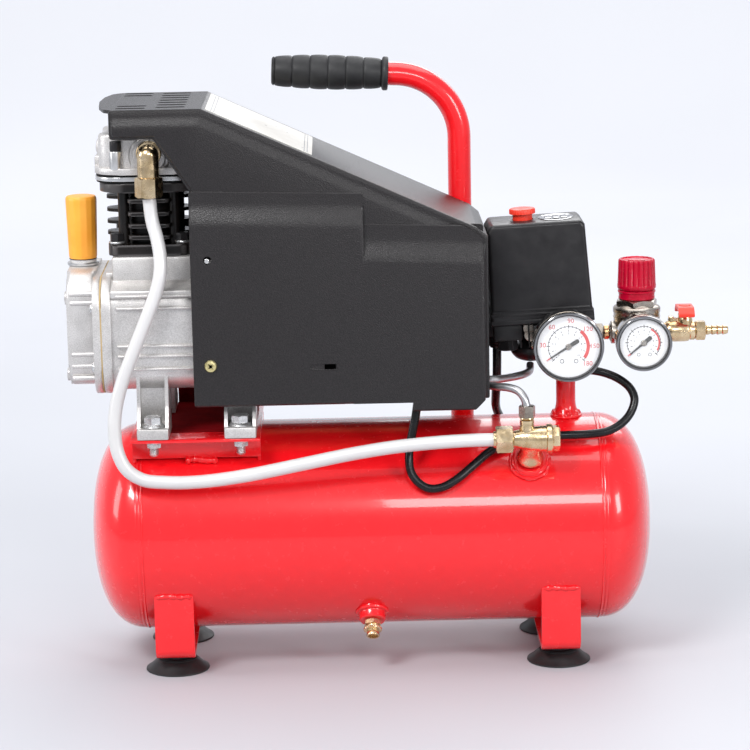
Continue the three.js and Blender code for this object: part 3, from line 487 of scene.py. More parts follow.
RED_PLASTIC = surface("red_plastic", (0.40, 0.001, 0.018), (0.52, 0.002, 0.028), 0.26, grain=(500, 0.1, 0.1), specular=0.3)
KNOB_RED = surface("knob_red", (0.72, 0.03, 0.012), (0.84, 0.045, 0.018), 0.42, grain=(700, 0.12, 0.1))
ORANGE = surface("orange_plastic", (0.86, 0.32, 0.025), (0.94, 0.42, 0.05), 0.42, grain=(400, 0.1, 0.15), mottle=(25, 0.3, 0.7))
CHROME = surface("chrome", (0.22, 0.22, 0.225), (0.34, 0.34, 0.345), 0.12, 1.0, grain=(600, 0.03, 0.05), rough_span=0.04)
DIAL = dial_face()
INK = surface("dial_ink", (0.003, 0.003, 0.003), (0.007, 0.007, 0.007), 0.5, grain=(600, 0.03, 0.05), specular=0.15)
RED_INK = surface("dial_red", (0.58, 0.005, 0.005), (0.66, 0.01, 0.01), 0.5, grain=(600, 0.03, 0.05))
GREY_INK = surface("dial_grey", (0.20, 0.20, 0.21), (0.26, 0.26, 0.27), 0.5, grain=(600, 0.03, 0.05))
# A near black that paints the shade inside recesses.
RECESS_SHADE = surface("painted_recess_shade", (0.0004, 0.0004, 0.0004), (0.0008, 0.0008, 0.0008), 0.9, specular=0.0)
GASKET = surface("gasket_paper", (0.42, 0.29, 0.12), (0.58, 0.42, 0.20), 0.7, grain=(900, 0.3, 0.15))
LABEL = surface("blank_label", (0.54, 0.515, 0.46), (0.60, 0.575, 0.52), 0.35, grain=(500, 0.03, 0.05), coat=0.3)
COPPER_WIRE = surface("copper_wire", (0.34, 0.12, 0.04), (0.62, 0.25, 0.10), 0.35, 1.0, grain=(400, 0.5, 0.5),
                      stretch=(0.2, 3, 3))
LENS = glass("gauge_lens")
SIGHT = glass("sight_glass", (0.95, 0.80, 0.40), 0.05, 0.55)


# ---- camera ------------------------------------------------------------------------------------------
def make_camera():
    """The photograph's view: 11.5 degrees above the floor, barely left of the front, a touch of roll."""
    azimuth, elevation, roll = (math.radians(a) for a in (0.8, 11.5, 1.1))
    back = Vector((
        -math.sin(azimuth) * math.cos(elevation),
        -math.cos(azimuth) * math.cos(elevation),
        math.sin(elevation),
    ))
    right = Vector((math.cos(azimuth), -math.sin(azimuth), 0))
    up = back.cross(right)
    across = right * math.cos(roll) - up * math.sin(roll)
    over = right * math.sin(roll) + up * math.cos(roll)
    data = bpy.data.cameras.new("camera")
    data.sensor_width = 36
    data.lens = 134.4
    data.clip_end = 50
    camera = bpy.data.objects.new("camera", data)
    bpy.context.scene.collection.objects.link(camera)
    turn = Matrix((across, over, back)).transposed().to_4x4()
    camera.matrix_world = Matrix.Translation(row(3.7, 0, 217) + back * 2147 * MM) @ turn
    bpy.context.scene.camera = camera


make_camera()

# ---- cords -------------------------------------------------------------------------------------------
CORD_R = 3.4
COIL_X, COIL_Y = 101.4, 152.0
COLUMNS = (42.1, 35.1)  # radii of the coil's outer and inner column of turns
LAYERS = (3.5, 10.5, 17.5)  # heights of its three layers
PLUG_Z = 9.0
MAINS_ROUTE = [
    (98, 8, 236.6), (98, 9, 226), (97.9, 13, 210), (97.5, 22.5, 194.5), (98.5, 37, 181.5), (103, 52, 169.5),
    (110, 66, 155.5), (119, 77.5, 137), (128, 84, 115), (135.5, 86, 92), (140.5, 86.5, 66), (143, 87, 42),
    (143.5, 89.5, 22), (143.5, 97, 9), (143.5, 108, 4.2), (143.5, 122, 3.6),
]
MOTOR_ROUTE = [
    (35.6, -59, 220), (34.6, -60, 211), (32.1, -61, 194.4), (28.8, -63, 179.6), (27, -67, 166.8), (28.2, -71, 157),
    (33.2, -73.5, 149.7), (41.3, -74.5, 144.9), (51.9, -73, 145.4), (63.3, -69, 150.8), (75, -62, 158.6),
    (87.5, -55, 167.2), (100.6, -50, 173), (118.9, -48, 176.5), (141.5, -49, 177.5), (164.2, -48, 177.8),
    (178.1, -45, 179.1), (189.1, -41, 184.1), (196.3, -37, 191.6), (199.4, -33, 200.8), (196.4, -29, 208.5),
    (188.5, -25, 214.8), (177.5, -22, 219.3), (166, -22, 221.5), (154, -21.5, 221), (144, -20.8, 221.5),
    (137, -19.8, 226), (133.6, -19.2, 232), (132.8, -19, 238),
]


def coil_turns():
    """The winding: down the outer side once, then in, up the inner side, out, and down on the first."""
    outer, inner = COLUMNS
    low, middle, high = LAYERS
    stations = [  # angle in degrees, radius, height; each change takes 40 degrees, before the last one's
        (0, outer, low), (320, outer, low), (360, inner, low), (640, inner, low), (680, inner, middle),
        (960, inner, middle), (1000, inner, high), (1280, inner, high), (1320, outer, high),
        (1600, outer, high), (1640, outer, middle), (1890, outer, middle),
    ]
    turns = []
    step = 10
    for (a0, r0, z0), (a1, r1, z1) in zip(stations, stations[1:]):
        for k in range(0, a1 - a0, step):
            t = k / (a1 - a0)
            ease = t * t * (3 - 2 * t)
            a = math.radians(a0 + k)
            r = r0 + (r1 - r0) * ease
            turns.append((COIL_X + r * math.cos(a), COIL_Y + r * math.sin(a), z0 + (z1 - z0) * ease))
    return turns


def cord_piece(name, path, r, replaces, **facts):
    made = piece(name, "frame", tube(path, r, 16), CORD_BLACK, replaces, sharp=60)
    return made


def mains_plug():
    """A generic flat two-pin plug with a ribbed relief, on its side behind the coil."""
    y = COIL_Y + COLUMNS[0]
    outline = fillet([(14, y - 9), (20, y - 11.5), (36, y - 11.5), (41.5, y - 7), (41.5, y + 7), (36, y + 11.5),
                      (20, y + 11.5), (14, y + 9)], 3.5)
    body = prism(outline, "Z", 0.5, 17.5, 3.4, 4)
    face = prism(fillet([(10.2, y - 10), (15, y - 10), (15, y + 10), (10.2, y + 10)], 1.5), "Z", 1.2, 16.8, 1.5, 3)
    relief = lathe([(0, 0), (6.2, 0), (5.7, 3), (5.9, 4), (5.4, 7), (5.5, 8), (4.9, 11), (5.0, 12), (4.2, 15.4), (0, 15.4)],
                   X, (40.5, y, PLUG_Z), 32)
    pins = [rod((12, y + d, PLUG_Z), (-7.6, y + d, PLUG_Z), 2.3, 24, 0.9) for d in (-6, 6)]
    shell = join(body, face, relief)
    made = piece("plug_body", "frame", shell, SMOOTH_BLACK, "mains_plug")
    prongs = piece("plug_pins", "frame", join(*pins), CHROME)
    return [made, prongs]


exit_y = COIL_Y + COLUMNS[0]
mains_path = smooth_path(MAINS_ROUTE + coil_turns() + [
    (COIL_X, exit_y, LAYERS[1]), (86, exit_y, 10.2), (70, exit_y, 9.4), (56.4, exit_y, PLUG_Z),
], 3)
mains = cord_piece("mains_lead", mains_path, CORD_R, ("mains_cord", "mains_cord_coil"), far_end="plug",
                   stiffness="medium", lay="coiled", with_pieces=mains_plug())
motor = cord_piece("motor_lead", smooth_path(MOTOR_ROUTE, 5), CORD_R - 0.2, "motor_cable", far_end="object",
                   stiffness="medium", lay="hanging")

# ---- receiver ----------------------------------------------------------------------------------------
TANK_Z, TANK_R = 103.0, 79.3
END_DEPTH, END_POWER = 41.4, 2.4
WALL = 2.2


def on_tank(x, degrees, height):
    """A point off the tank's skin by some height, at an angle forward of straight up."""
    a = math.radians(degrees)
    r = TANK_R + height
    return Vector((x, -r * math.sin(a), TANK_Z + r * math.cos(a)))


def tank_blank(extra=0.3):
    return rod((SHELL_LEFT - 60, 0, TANK_Z), (SHELL_RIGHT + 60, 0, TANK_Z), TANK_R + extra, 128)


def weld(path, r, seed=0.0):
    """A lumpy weld bead along a path."""
    fine = smooth_path(path, 5)
    radii = [r * (1 + 0.22 * math.sin(1.9 * i + seed) + 0.12 * math.sin(4.7 * i + 2 * seed)) for i in range(len(fine))]
    radii[0] = radii[-1] = r * 0.4
    return tube(fine, r, 12, radii)


def weld_ring(centre, axis, ring_r, r, count=48, seed=0.0):
    """A closed lumpy bead round an axis."""
    axis = Vector(axis).normalized()
    side = axis.orthogonal().normalized()
    other = axis.cross(side)
    bm = bmesh.new()
    rows = []
    for i in range(count):
        a = 2 * math.pi * i / count
        out = side * math.cos(a) + other * math.sin(a)
        size = r * (1 + 0.16 * math.sin(7 * a + seed) + 0.10 * math.sin(17 * a + 2 * seed))
        centre_here = Vector(centre) + out * ring_r
        row_ = []
        for k in range(10):
            b = 2 * math.pi * k / 10
            row_.append(bm.verts.new(centre_here + (out * math.cos(b) + axis * math.sin(b)) * size))
        rows.append(row_)
    for i in range(count):
        for k in range(10):
            m = (k + 1) % 10
            j = (i + 1) % count
            bm.faces.new((rows[i][k], rows[j][k], rows[j][m], rows[i][m]))
    return mesh_of(bm)


def tank_shell():
    length = SHELL_RIGHT - SHELL_LEFT
    inner = TANK_R - WALL
    profile = [(inner, 0), (TANK_R - 0.5, 0), (TANK_R, 0.6), (TANK_R, length - 0.6), (TANK_R - 0.5, length),
               (inner, length), (inner, 0)]
    skin = lathe(profile, X, (SHELL_LEFT, 0, TANK_Z), 160)
    drain_axis = on_tank(0, 138, 1) - on_tank(0, 138, 0)
    inlet_axis = on_tank(0, 45, 1) - on_tank(0, 45, 0)
    drain_boss = lathe([(0, 0), (12.6, 0), (12.4, 1.8), (10.3, 3.0), (9.9, 4.4), (9.9, 7.8), (9.2, 8.6), (0, 8.6)],
                       drain_axis, on_tank(-2.5, 138, -1.2), 48)
    inlet_boss = lathe([(0, 0), (14.6, 0), (14.6, 2), (13.6, 3.6), (12.9, 4.2), (12.9, 5.2), (12, 6.4), (0, 6.4)],
                       inlet_axis, on_tank(118, 45, -1.2), 48)
    rings = [
        weld_ring(on_tank(118, 45, 0.4), inlet_axis, 14.6, 1.5, 56, 1.0),
        weld_ring(on_tank(118, 45, 3.0), inlet_axis, 12.9, 1.1, 56, 3.0),
        weld_ring(on_tank(-2.5, 138, 0.2), drain_axis, 11.4, 1.5, 48, 2.0),
    ]
    piece("tank_shell_skin", "frame", join(skin, drain_boss, inlet_boss, *rings), RED, "tank_shell")


def dished_end(name, x, towards, node):
    """The dished end, with the pressed rings of its joggle beside the seam."""
    steps = 48
    outer = []
    for i in range(steps + 1):
        t = math.pi / 2 * i / steps
        r = TANK_R * math.cos(t) ** (2 / END_POWER)
        h = END_DEPTH * math.sin(t) ** (2 / END_POWER)
        outer.append((max(r, 0), h))
    joggle = []
    for k in range(1, 25):
        h = k * 0.32
        r = TANK_R * (1 - (h / END_DEPTH) ** END_POWER) ** (1 / END_POWER)
        dip = 0.3 * math.exp(-(((h - 1.3) / 0.6) ** 2)) + 0.22 * math.exp(-(((h - 3.9) / 0.6) ** 2))
        joggle.append((r - dip, h))
    outer = [outer[0], *joggle, *(p for p in outer if p[1] > joggle[-1][1] + 0.3)]
    inner = [(0, END_DEPTH - WALL)]
    for i in range(15, -1, -1):
        t = math.pi / 2 * i / 16
        r = (TANK_R - WALL) * math.cos(t) ** (2 / END_POWER)
        inner.append((r, (END_DEPTH - WALL) * math.sin(t) ** (2 / END_POWER)))
    profile = inner + outer[:-1] + [(0, END_DEPTH)]
    made = lathe(profile, X * towards, (x + towards * 0.25, 0, TANK_Z), 160)
    bead = weld_ring((x + towards * 0.1, 0, TANK_Z), X, TANK_R - 0.3, 0.85, 220, x)
    piece(name, "frame", join(made, bead), RED, node, sharp=50)


STRAP = {"width": 29.6, "thick": 3.0, "top": 69.0, "bottom": 14.3, "front": -70.0, "bend": 8.0}


def strap_outline():
    """The U of a leg's strap, in Y and Z."""
    s = STRAP

    def run(y, z, r):
        bend = [math.pi / 2 * k / 8 for k in range(9)]
        return [(y, s["top"])] + [(y + r - r * math.cos(a), z + r - r * math.sin(a)) for a in bend]

    outer = run(s["front"], s["bottom"], s["bend"])
    inner = run(s["front"] + s["thick"], s["bottom"] + s["thick"], s["bend"] - s["thick"])
    return outer + [(-y, z) for y, z in outer[::-1]] + [(-y, z) for y, z in inner] + inner[::-1]


def leg(name, x, node):
    half = STRAP["width"] / 2
    strap = prism([Vector(p) for p in strap_outline()], "X", x - half, x + half, 0.7)
    trimmed = combine(strap, [tank_blank()])
    beads = []
    rise = TANK_Z - math.sqrt((TANK_R + 0.2) ** 2 - (STRAP["front"] + 0.8) ** 2)
    for side in (1, -1):
        y = side * (STRAP["front"] + 0.6)
        beads.append(weld([(x - half + 1, y, rise), (x - 5, y, rise + 0.6), (x + 4, y, rise), (x + half - 1, y, rise + 0.4)],
                          2.0, x + side))
    nuts = []
    for side in (1, -1):
        y = side * 42
        nuts.append(hexagon((x, y, 17.5), (x, y, 22.5), 12))
        nuts.append(rod((x, y, 17.4), (x, y, 25.6), 3.0, 24, 0.5))
    piece(name, "frame", join(trimmed, *beads), RED, node, sharp=40)
    piece(name + "_nuts", "frame", join(*nuts), ZINC, sharp=30)


def suction_foot(name, x, y):
    """A suction-cup foot: a thin sagging lip under a stepped neck."""
    profile = [
        (0, 2.4), (12, 2.2), (17.5, 1.2), (21.5, 0.02), (23.9, 0.02), (24.3, 0.5), (24.1, 1.3), (22.4, 2.3), (19.6, 4.4),
        (17.2, 6.6), (14.6, 8.3), (12.4, 9.3), (11.6, 10.0), (11.8, 11.0), (11.2, 13.4), (10.3, 14.0), (0, 14.0),
    ]
    rubber = lathe(profile, Z, (x, y, 0), 72)
    ridges = [lathe([(0, 0), (14.9 - i, 0), (14.9 - i, 0.5), (0, 0.5)], Z, (x, y, 8.3 + i * 0.7), 64) for i in range(2)]
    piece(name + "_cup", "frame", join(rubber, *ridges), RUBBER, name, sharp=45)


tank_shell()
dished_end("left_dished_end", SHELL_LEFT, -1, "tank_end_left")
dished_end("right_dished_end", SHELL_RIGHT, 1, "tank_end_right")
LEG_X = {"left": -152, "right": 140}
for side, x in LEG_X.items():
    leg("strap_" + side, x, "leg_" + side)
    suction_foot("foot_front_" + side, x, -42)
    suction_foot("foot_rear_" + side, x, 42)

# ---- motor base ----------------------------------------------------------------------------------------
LUG_X = (-163.4, -98.4)
BOLT_Y = 60.5
BASE = {"left": -180.5, "right": -83.5, "y": 70.0, "low": 182.6, "top": 184.8, "web_y": 52.0, "foot": 167.0}


def base_bracket():
    b = BASE
    plate = box(b["left"], b["right"], -b["y"], b["y"], b["low"], b["top"], 0.7)
    web_profile = fillet([(-b["web_y"], b["top"] - 0.6, 0.3), (-b["web_y"], b["foot"], 0.6),
                          (-b["web_y"] + 2.5, b["foot"], 0.6), (-b["web_y"] + 2.5, b["top"] - 0.6, 0.3)])
    webs = [prism(web_profile, "X", b["left"] + 0.4, b["right"] - 0.4, 0.4)]
    webs.append(mirrored_y(webs[0]))
    fold = tube([(b["left"] + 1, -b["web_y"] - 0.2, b["low"]), (b["right"] - 1, -b["web_y"] - 0.2, b["low"])], 0.9, 12)
    ends = [box(x, x + 2.5, -b["web_y"] + 1, b["web_y"] - 1, 150, b["top"] - 0.5, 0.5) for x in (b["left"] + 0.5, b["right"] - 3)]
    holes = [rod((x, s * BOLT_Y, 180), (x, s * BOLT_Y, 188), 4.6, 32) for x in LUG_X for s in (-1, 1)]
    tab = box(-151.2, -112.5, b["y"] - 2.5, b["y"], b["low"], 214, 0.7)
    pressed = combine(union(plate, *webs, *ends), [tank_blank(), *holes])
    gap_z = 103 + math.sqrt(TANK_R ** 2 - b["web_y"] ** 2)
    beads = []
    for s in (-1, 1):
        y = s * (b["web_y"] + 0.4)
        beads.append(weld([(-141, y, gap_z + 2.2), (-134, y - s * 0.6, gap_z + 3.4), (-126, y, gap_z + 2.4), (-116, y, gap_z + 2)],
                          2.6, s))
    # Painted shade: thin dark red sheets on the plate between the lugs and on the rear tab's front face, where the
    # crankcase and shroud shade them.
    plate_shade_sheets = join(box(-151.4, -110.4, -44, b["y"] - 2.9, b["top"], b["top"] + 0.25), box(-162, -100, -38, 38, b["top"], b["top"] + 0.4))
    shaded = box(-151.0, -112.7, b["y"] - 2.85, b["y"] - 2.55, b["top"] + 0.3, 213.4)
    piece("base_rear_tab", "frame", tab, RED, sharp=35)
    piece("base_painted_shade", "frame", join(plate_shade_sheets, shaded), SHADED_RED)
    piece("base_plate", "frame", join(pressed, fold, *beads), RED, "motor_base_bracket", sharp=35)


def lug_bolt(name, x, y):
    """A flanged hexagon bolt, its flange nut under the plate and the thread's end."""
    seat, under = 193.8, BASE["low"] - 0.3
    flange = lathe([(0, 0), (8.4, 0), (8.6, 0.5), (8.0, 1.4), (6.4, 2.4), (0, 2.4)], Z, (x, y, seat), 48)
    head = hexagon((x, y, seat + 1.8), (x, y, seat + 7.6), 12, spin=0.4)
    dish = lathe([(0, 0), (3.8, 0), (4.2, 0.45), (0, 0.45)], Z, (x, y, seat + 7.3), 32)
    shank = rod((x, y, seat + 1), (x, y, under - 2), 3.55, 24)
    thread_profile = [(0, 0)]
    for k in range(9):
        thread_profile += [(3.1, k * 1.15), (3.6, k * 1.15 + 0.55)]
    thread_profile += [(3.1, 10.6), (2.6, 11.2), (0, 11.2)]
    thread = lathe(thread_profile, -Z, (x, y, under), 24)
    nut = hexagon((x, y, under), (x, y, under - 4.6), 10, spin=0.9)
    nut_flange = lathe([(0, 0), (6.6, 0), (6.4, 0.9), (5, 1.8), (0, 1.8)], -Z, (x, y, under), 40)
    piece(name + "_fixing", "frame", join(flange, head, dish, shank, thread, nut, nut_flange), ZINC, name, sharp=28)


base_bracket()
for row_name, y in (("front", -BOLT_Y), ("rear", BOLT_Y)):
    for side, x in zip(("left", "right"), LUG_X):
        lug_bolt(f"lug_bolt_{row_name}_{side}", x, y)

# ---- pump ------------------------------------------------------------------------------------------------
CRANK_Z = 258.0
CYL_X = -163.0
BREATHER_X = -216.0
CASE = {"left": -199.3, "right": -84.0, "y": 56.0, "low": 218.2, "high": 302.0}


def rounded(half_a, half_b, r, a=0.0, b=0.0, steps=8):
    """A rounded rectangle about (a, b)."""
    out = []
    for quarter, (sa, sb) in enumerate(((1, 1), (-1, 1), (-1, -1), (1, -1))):
        for k in range(steps + 1):
            t = math.pi / 2 * (quarter + k / steps)
            out.append(Vector((a + sa * (half_a - r) + r * math.cos(t), b + sb * (half_b - r) + r * math.sin(t))))
    return out


def lug_frame(x):
    """One pair of mounting lugs: two cheeks, a pad and a back wall on each side."""
    half, low, pad, front, wall = 11.8, 185.1, 8.4, 70.0, 2.6
    pieces = []
    cheek = [(front - 4, low, 0.5), (front - 4, low + pad, 2), (58, 208, 6), (54, 234, 4), (26, 240, 1), (26, low, 0.5)]
    for s in (-1, 1):
        line = fillet([(s * p[0], p[1], p[2]) for p in cheek])
        for x0 in (x - half, x + half - wall):
            pieces.append(prism(line, "X", x0, x0 + wall, 0.7))
        y0, y1 = sorted((s * 40, s * front))
        pieces.append(box(x - half, x + half, y0, y1, low, low + pad, 1.1))
        w0, w1 = sorted((s * 40, s * 43))
        pieces.append(box(x - half + 0.5, x + half - 0.5, w0, w1, low + 1, 238))
    return pieces


def crankcase():
    c = CASE
    mid, half = (c["low"] + c["high"]) / 2, (c["high"] - c["low"]) / 2
    barrel = prism(rounded(c["y"], half, 20, 0, mid), "X", c["left"], -126, 1.2)
    flange = prism(rounded(c["y"] + 3, half + 2.5, 22, 0, mid), "X", c["left"], c["left"] + 7, 1.0)
    bell = rod((-128, 0, CRANK_Z), (c["right"], 0, CRANK_Z), 50.4, 96, 1.2)
    turret = box(-191.4, -126, -41, 41, c["high"] - 12, 319, 2.2)
    step = box(-197, -184, -37, 37, c["high"] - 6, 307, 1.6)
    shoulder = prism(fillet([(-57.2, 290), (-57.2, 295.7), (-41, 301), (41, 301), (57.2, 295.7), (57.2, 290)], 1.6), "X", -192, -127, 0.8)
    ribs = []
    for z in (291.9, 282.7, 254.2, 246.6, 236.9):
        rib = prism(fillet([(-c["y"] - 2.6, z - 0.9), (-c["y"] - 2.6, z + 0.9), (-c["y"] + 12, z + 1.3), (-c["y"] + 12, z - 1.3)], 0.8),
                    "X", -188, -127, 0.5)
        ribs += [rib, mirrored_y(rib)]
    lugs = [p for x in LUG_X for p in lug_frame(x)]
    bores = [
        rod((c["left"] - 1, 0, CRANK_Z), (-142, 0, CRANK_Z), 37.2, 64),
        rod((-143, 0, CRANK_Z), (-125, 0, CRANK_Z), 8.6, 40),
        rod((-126, 0, CRANK_Z), (c["right"] + 1, 0, CRANK_Z), 46, 64),
        rod((CYL_X, 0, CRANK_Z), (CYL_X, 0, 320), 23.6, 64),
    ]
    bores += [rod((x, s * BOLT_Y, 184), (x, s * BOLT_Y, 194.6), 4.6, 32) for x in LUG_X for s in (-1, 1)]
    casting = combine(union(barrel, flange, bell, turret, step, shoulder, *ribs, *lugs), bores)
    piece("crankcase_casting", "frame", casting, CAST, "crankcase", sharp=38)


def cross_screw(at, axis, r, height=2.2):
    """A pan-head screw with a cross recess."""
    axis = Vector(axis).normalized()
    head = lathe([(0, 0), (r, 0), (r, height * 0.35), (r * 0.86, height * 0.75), (r * 0.5, height * 0.97), (0, height)],
                 Z, (0, 0, 0), 40)
    w = r * 0.17
    arms = [box(-r * 0.55, r * 0.55, -w, w, height * 0.45, height + 1), box(-w, w, -r * 0.55, r * 0.55, height * 0.45, height + 1)]
    cut_head = combine(head, arms)
    turn = Z.rotation_difference(axis)
    spin = Matrix.Rotation(0.5, 4, "Z")
    return moved(cut_head, Matrix.Translation(at) @ turn.to_matrix().to_4x4() @ spin)


def crankcase_cover():
    c = CASE
    right = c["left"] - 1.1
    mid, half = (c["low"] + c["high"]) / 2, (c["high"] - c["low"]) / 2
    flange = prism(rounded(c["y"] + 3, half + 2.5, 22, 0, mid), "X", right - 5.5, right, 0.9)
    dome = prism(rounded(48, 43, 18, 0, mid + 4.4), "X", -225.8, right - 4, 3.2, 4)
    steps = [prism(rounded(49.2 - i * 0.2, 2.0, 1.9, 0, z), "X", -223.2, right - 4, 1.0) for i, z in enumerate((293, 286, 247, 238, 229))]
    nibs = [prism(rounded(6, 4.5, 3, y, z), "X", -227.8, -224, 1.1) for y, z in ((-34, 288), (34, 288), (-34, 230), (34, 230))]
    breather_boss = lathe([(0, 0), (13, 0), (12, 10), (11, 15), (10.2, 17.8), (10.2, 22.2), (0, 22.2)], Z, (BREATHER_X, 0, 290), 56)
    hollow = rod((-222.5, 0, CRANK_Z), (right + 1, 0, CRANK_Z), 33, 64)
    sight = rod((-228.5, 0, 241), (-222, 0, 241), 7.3, 40)
    sight_boss = lathe([(0, 0), (12.5, 0), (12.5, 3), (11, 4.6), (0, 4.6)], -X, (-222.1, 0, 241), 48)
    cast = combine(union(dome, flange, breather_boss, sight_boss, *steps, *nibs), [hollow, sight])
    piece("cover_casting", "frame", cast, CAST, "crankcase_cover", sharp=38)
    ring_cut = prism(rounded(40, 36, 14, 0, mid), "X", right - 1, right + 2)
    gasket = combine(prism(rounded(c["y"] + 2.8, half + 2.3, 22, 0, mid), "X", right + 0.06, right + 1.0), [ring_cut])
    piece("cover_gasket", "frame", gasket, GASKET)
    screws = [cross_screw((right - 5.4, y, z), -X, 3.6, 2.6) for y, z in
              ((-52, mid + 22), (-52, mid - 22), (52, mid + 22), (52, mid - 22), (-26, mid + half + 0.5 - 1), (26, mid + half - 0.5))]
    piece("cover_screws", "frame", join(*screws), ZINC, sharp=30)


def sight_glass():
    rim = lathe([(6.1, 4.1), (8.6, 4.1), (8.6, 6.3), (7.8, 7.0), (6.1, 7.0), (6.1, 4.1)], -X, (-221.8, 0, 241), 48)
    lens = lathe([(0, 0), (6.8, 0), (6.8, 4.0), (6.0, 4.2), (5.9, 6.6), (3, 7.3), (0, 7.4)], -X, (-221.8, 0, 241), 48)
    piece("sight_lens", "frame", lens, SIGHT, "oil_sight_glass", sharp=50)
    piece("sight_rim", "frame", rim, BRASS)


def breather():
    """The plastic breather: a tapered cap with faint facets over a threaded collar and a seal."""
    facets, count = 16, 96
    profile = [(10.2, 0), (10.6, 1.6), (10.7, 3), (11.2, 20), (11.85, 44.2), (11.7, 45.6), (10.9, 47.1), (9.2, 47.5)]
    bm = bmesh.new()
    rings = []
    for i, (r, h) in enumerate(profile):
        depth = 0.22 if 1 < i < 6 else 0.0
        ring_ = []
        for k in range(count):
            a = 2 * math.pi * k / count
            size = r - depth * abs(math.sin(a * facets / 2))
            ring_.append(bm.verts.new((size * math.cos(a), size * math.sin(a), h)))
        rings.append(ring_)
    for low, high in zip(rings, rings[1:]):
        for k in range(count):
            j = (k + 1) % count
            bm.faces.new((low[k], low[j], high[j], high[k]))
    bm.faces.new(rings[0])
    bm.faces.new(rings[-1])
    cap = moved(mesh_of(bm), Matrix.Translation((BREATHER_X, 0, 313)))
    piece("breather_cap", "oil_breather_cap", cap, ORANGE, "oil_breather_cap", sharp=40)
    collar = lathe([(0, 0), (11.6, 0), (12.0, 0.5), (12.0, 1.8), (11.4, 2.4), (9.9, 2.6), (9.9, 4.4), (0, 4.4)], Z, (BREATHER_X, 0, 307.8), 48)
    seal = lathe([(8.2, 0), (10.3, 0), (10.5, 0.3), (10.3, 0.6), (8.2, 0.6), (8.2, 0)], Z, (BREATHER_X, 0, 312.3), 48)
    piece("breather_collar", "frame", collar, MACHINED)
    piece("breather_seal", "frame", seal, RUBBER)


def cylinder():
    low, top = 319.3, 373.2
    barrel = rod((CYL_X, 0, low), (CYL_X, 0, top), 25, 64)
    base = prism(rounded(29, 39, 6, CYL_X, 0), "Z", low, low + 8, 1.6)
    pads = [rod((CYL_X + sx * 24.6, sy * 31, low), (CYL_X + sx * 24.6, sy * 31, low + 9.4), 6.2, 32, 0.8) for sx in (-1, 1) for sy in (-1, 1)]
    quarter = [(33.2, 5.6, 3.4), (24, 11, 2), (17, 22, 4), (15, 36, 3)]
    plan = [(CYL_X + x, y, r) for x, y, r in quarter] + [(CYL_X - x, y, r) for x, y, r in quarter[::-1]]
    plan += [(CYL_X - x, -y, r) for x, y, r in quarter] + [(CYL_X + x, -y, r) for x, y, r in quarter[::-1]]
    fins = [prism(fillet(plan), "Z", z - 1.35, z + 1.35, 0.9, 3) for z in (332.4, 341, 350, 359.8)]
    crown = prism(rounded(37, 37, 20, CYL_X, 0), "Z", 366.2, top, 1.2)
    columns = [rod((CYL_X + sx * 19, sy * 26, low + 4), (CYL_X + sx * 19, sy * 26, top - 1), 4.2, 24) for sx in (-1, 1) for sy in (-1, 1)]
    bore = rod((CYL_X, 0, low - 1), (CYL_X, 0, top + 1), 19.6, 64)
    casting = combine(union(barrel, base, crown, *pads, *fins, *columns), [bore])
    piece("cylinder_casting", "frame", casting, IRON, "cylinder", sharp=38)
    bolts, washers = [], []
    for sx in (-1, 1):
        for sy in (-1, 1):
            x, y = CYL_X + sx * 24.6, sy * 31
            washers.append(lathe([(0, 0), (5.9, 0), (6.0, 0.6), (5.7, 1.1), (0, 1.1)], Z, (x, y, low + 9.3), 40))
            bolts.append(hexagon((x, y, low + 10.3), (x, y, low + 16.2), 9, spin=0.3 * sx))
    piece("cylinder_washers", "frame", join(*washers), ZINC)
    piece("cylinder_bolts", "frame", join(*bolts), SMOOTH_BLACK)


def valve_plate():
    layers = [(39.2, 36.8, 373.5, 374.9), (39.9, 37.5, 375.0, 378.0), (39.3, 37.0, 378.1, 379.4)]
    plates = [prism(rounded(a, b, 20, CYL_X, 0), "Z", z0, z1, 0.3) for a, b, z0, z1 in layers]
    piece("valve_plate_sheets", "frame", join(plates[0], plates[2]), INK, "valve_plate")
    piece("valve_plate_steel", "frame", plates[1], MACHINED)


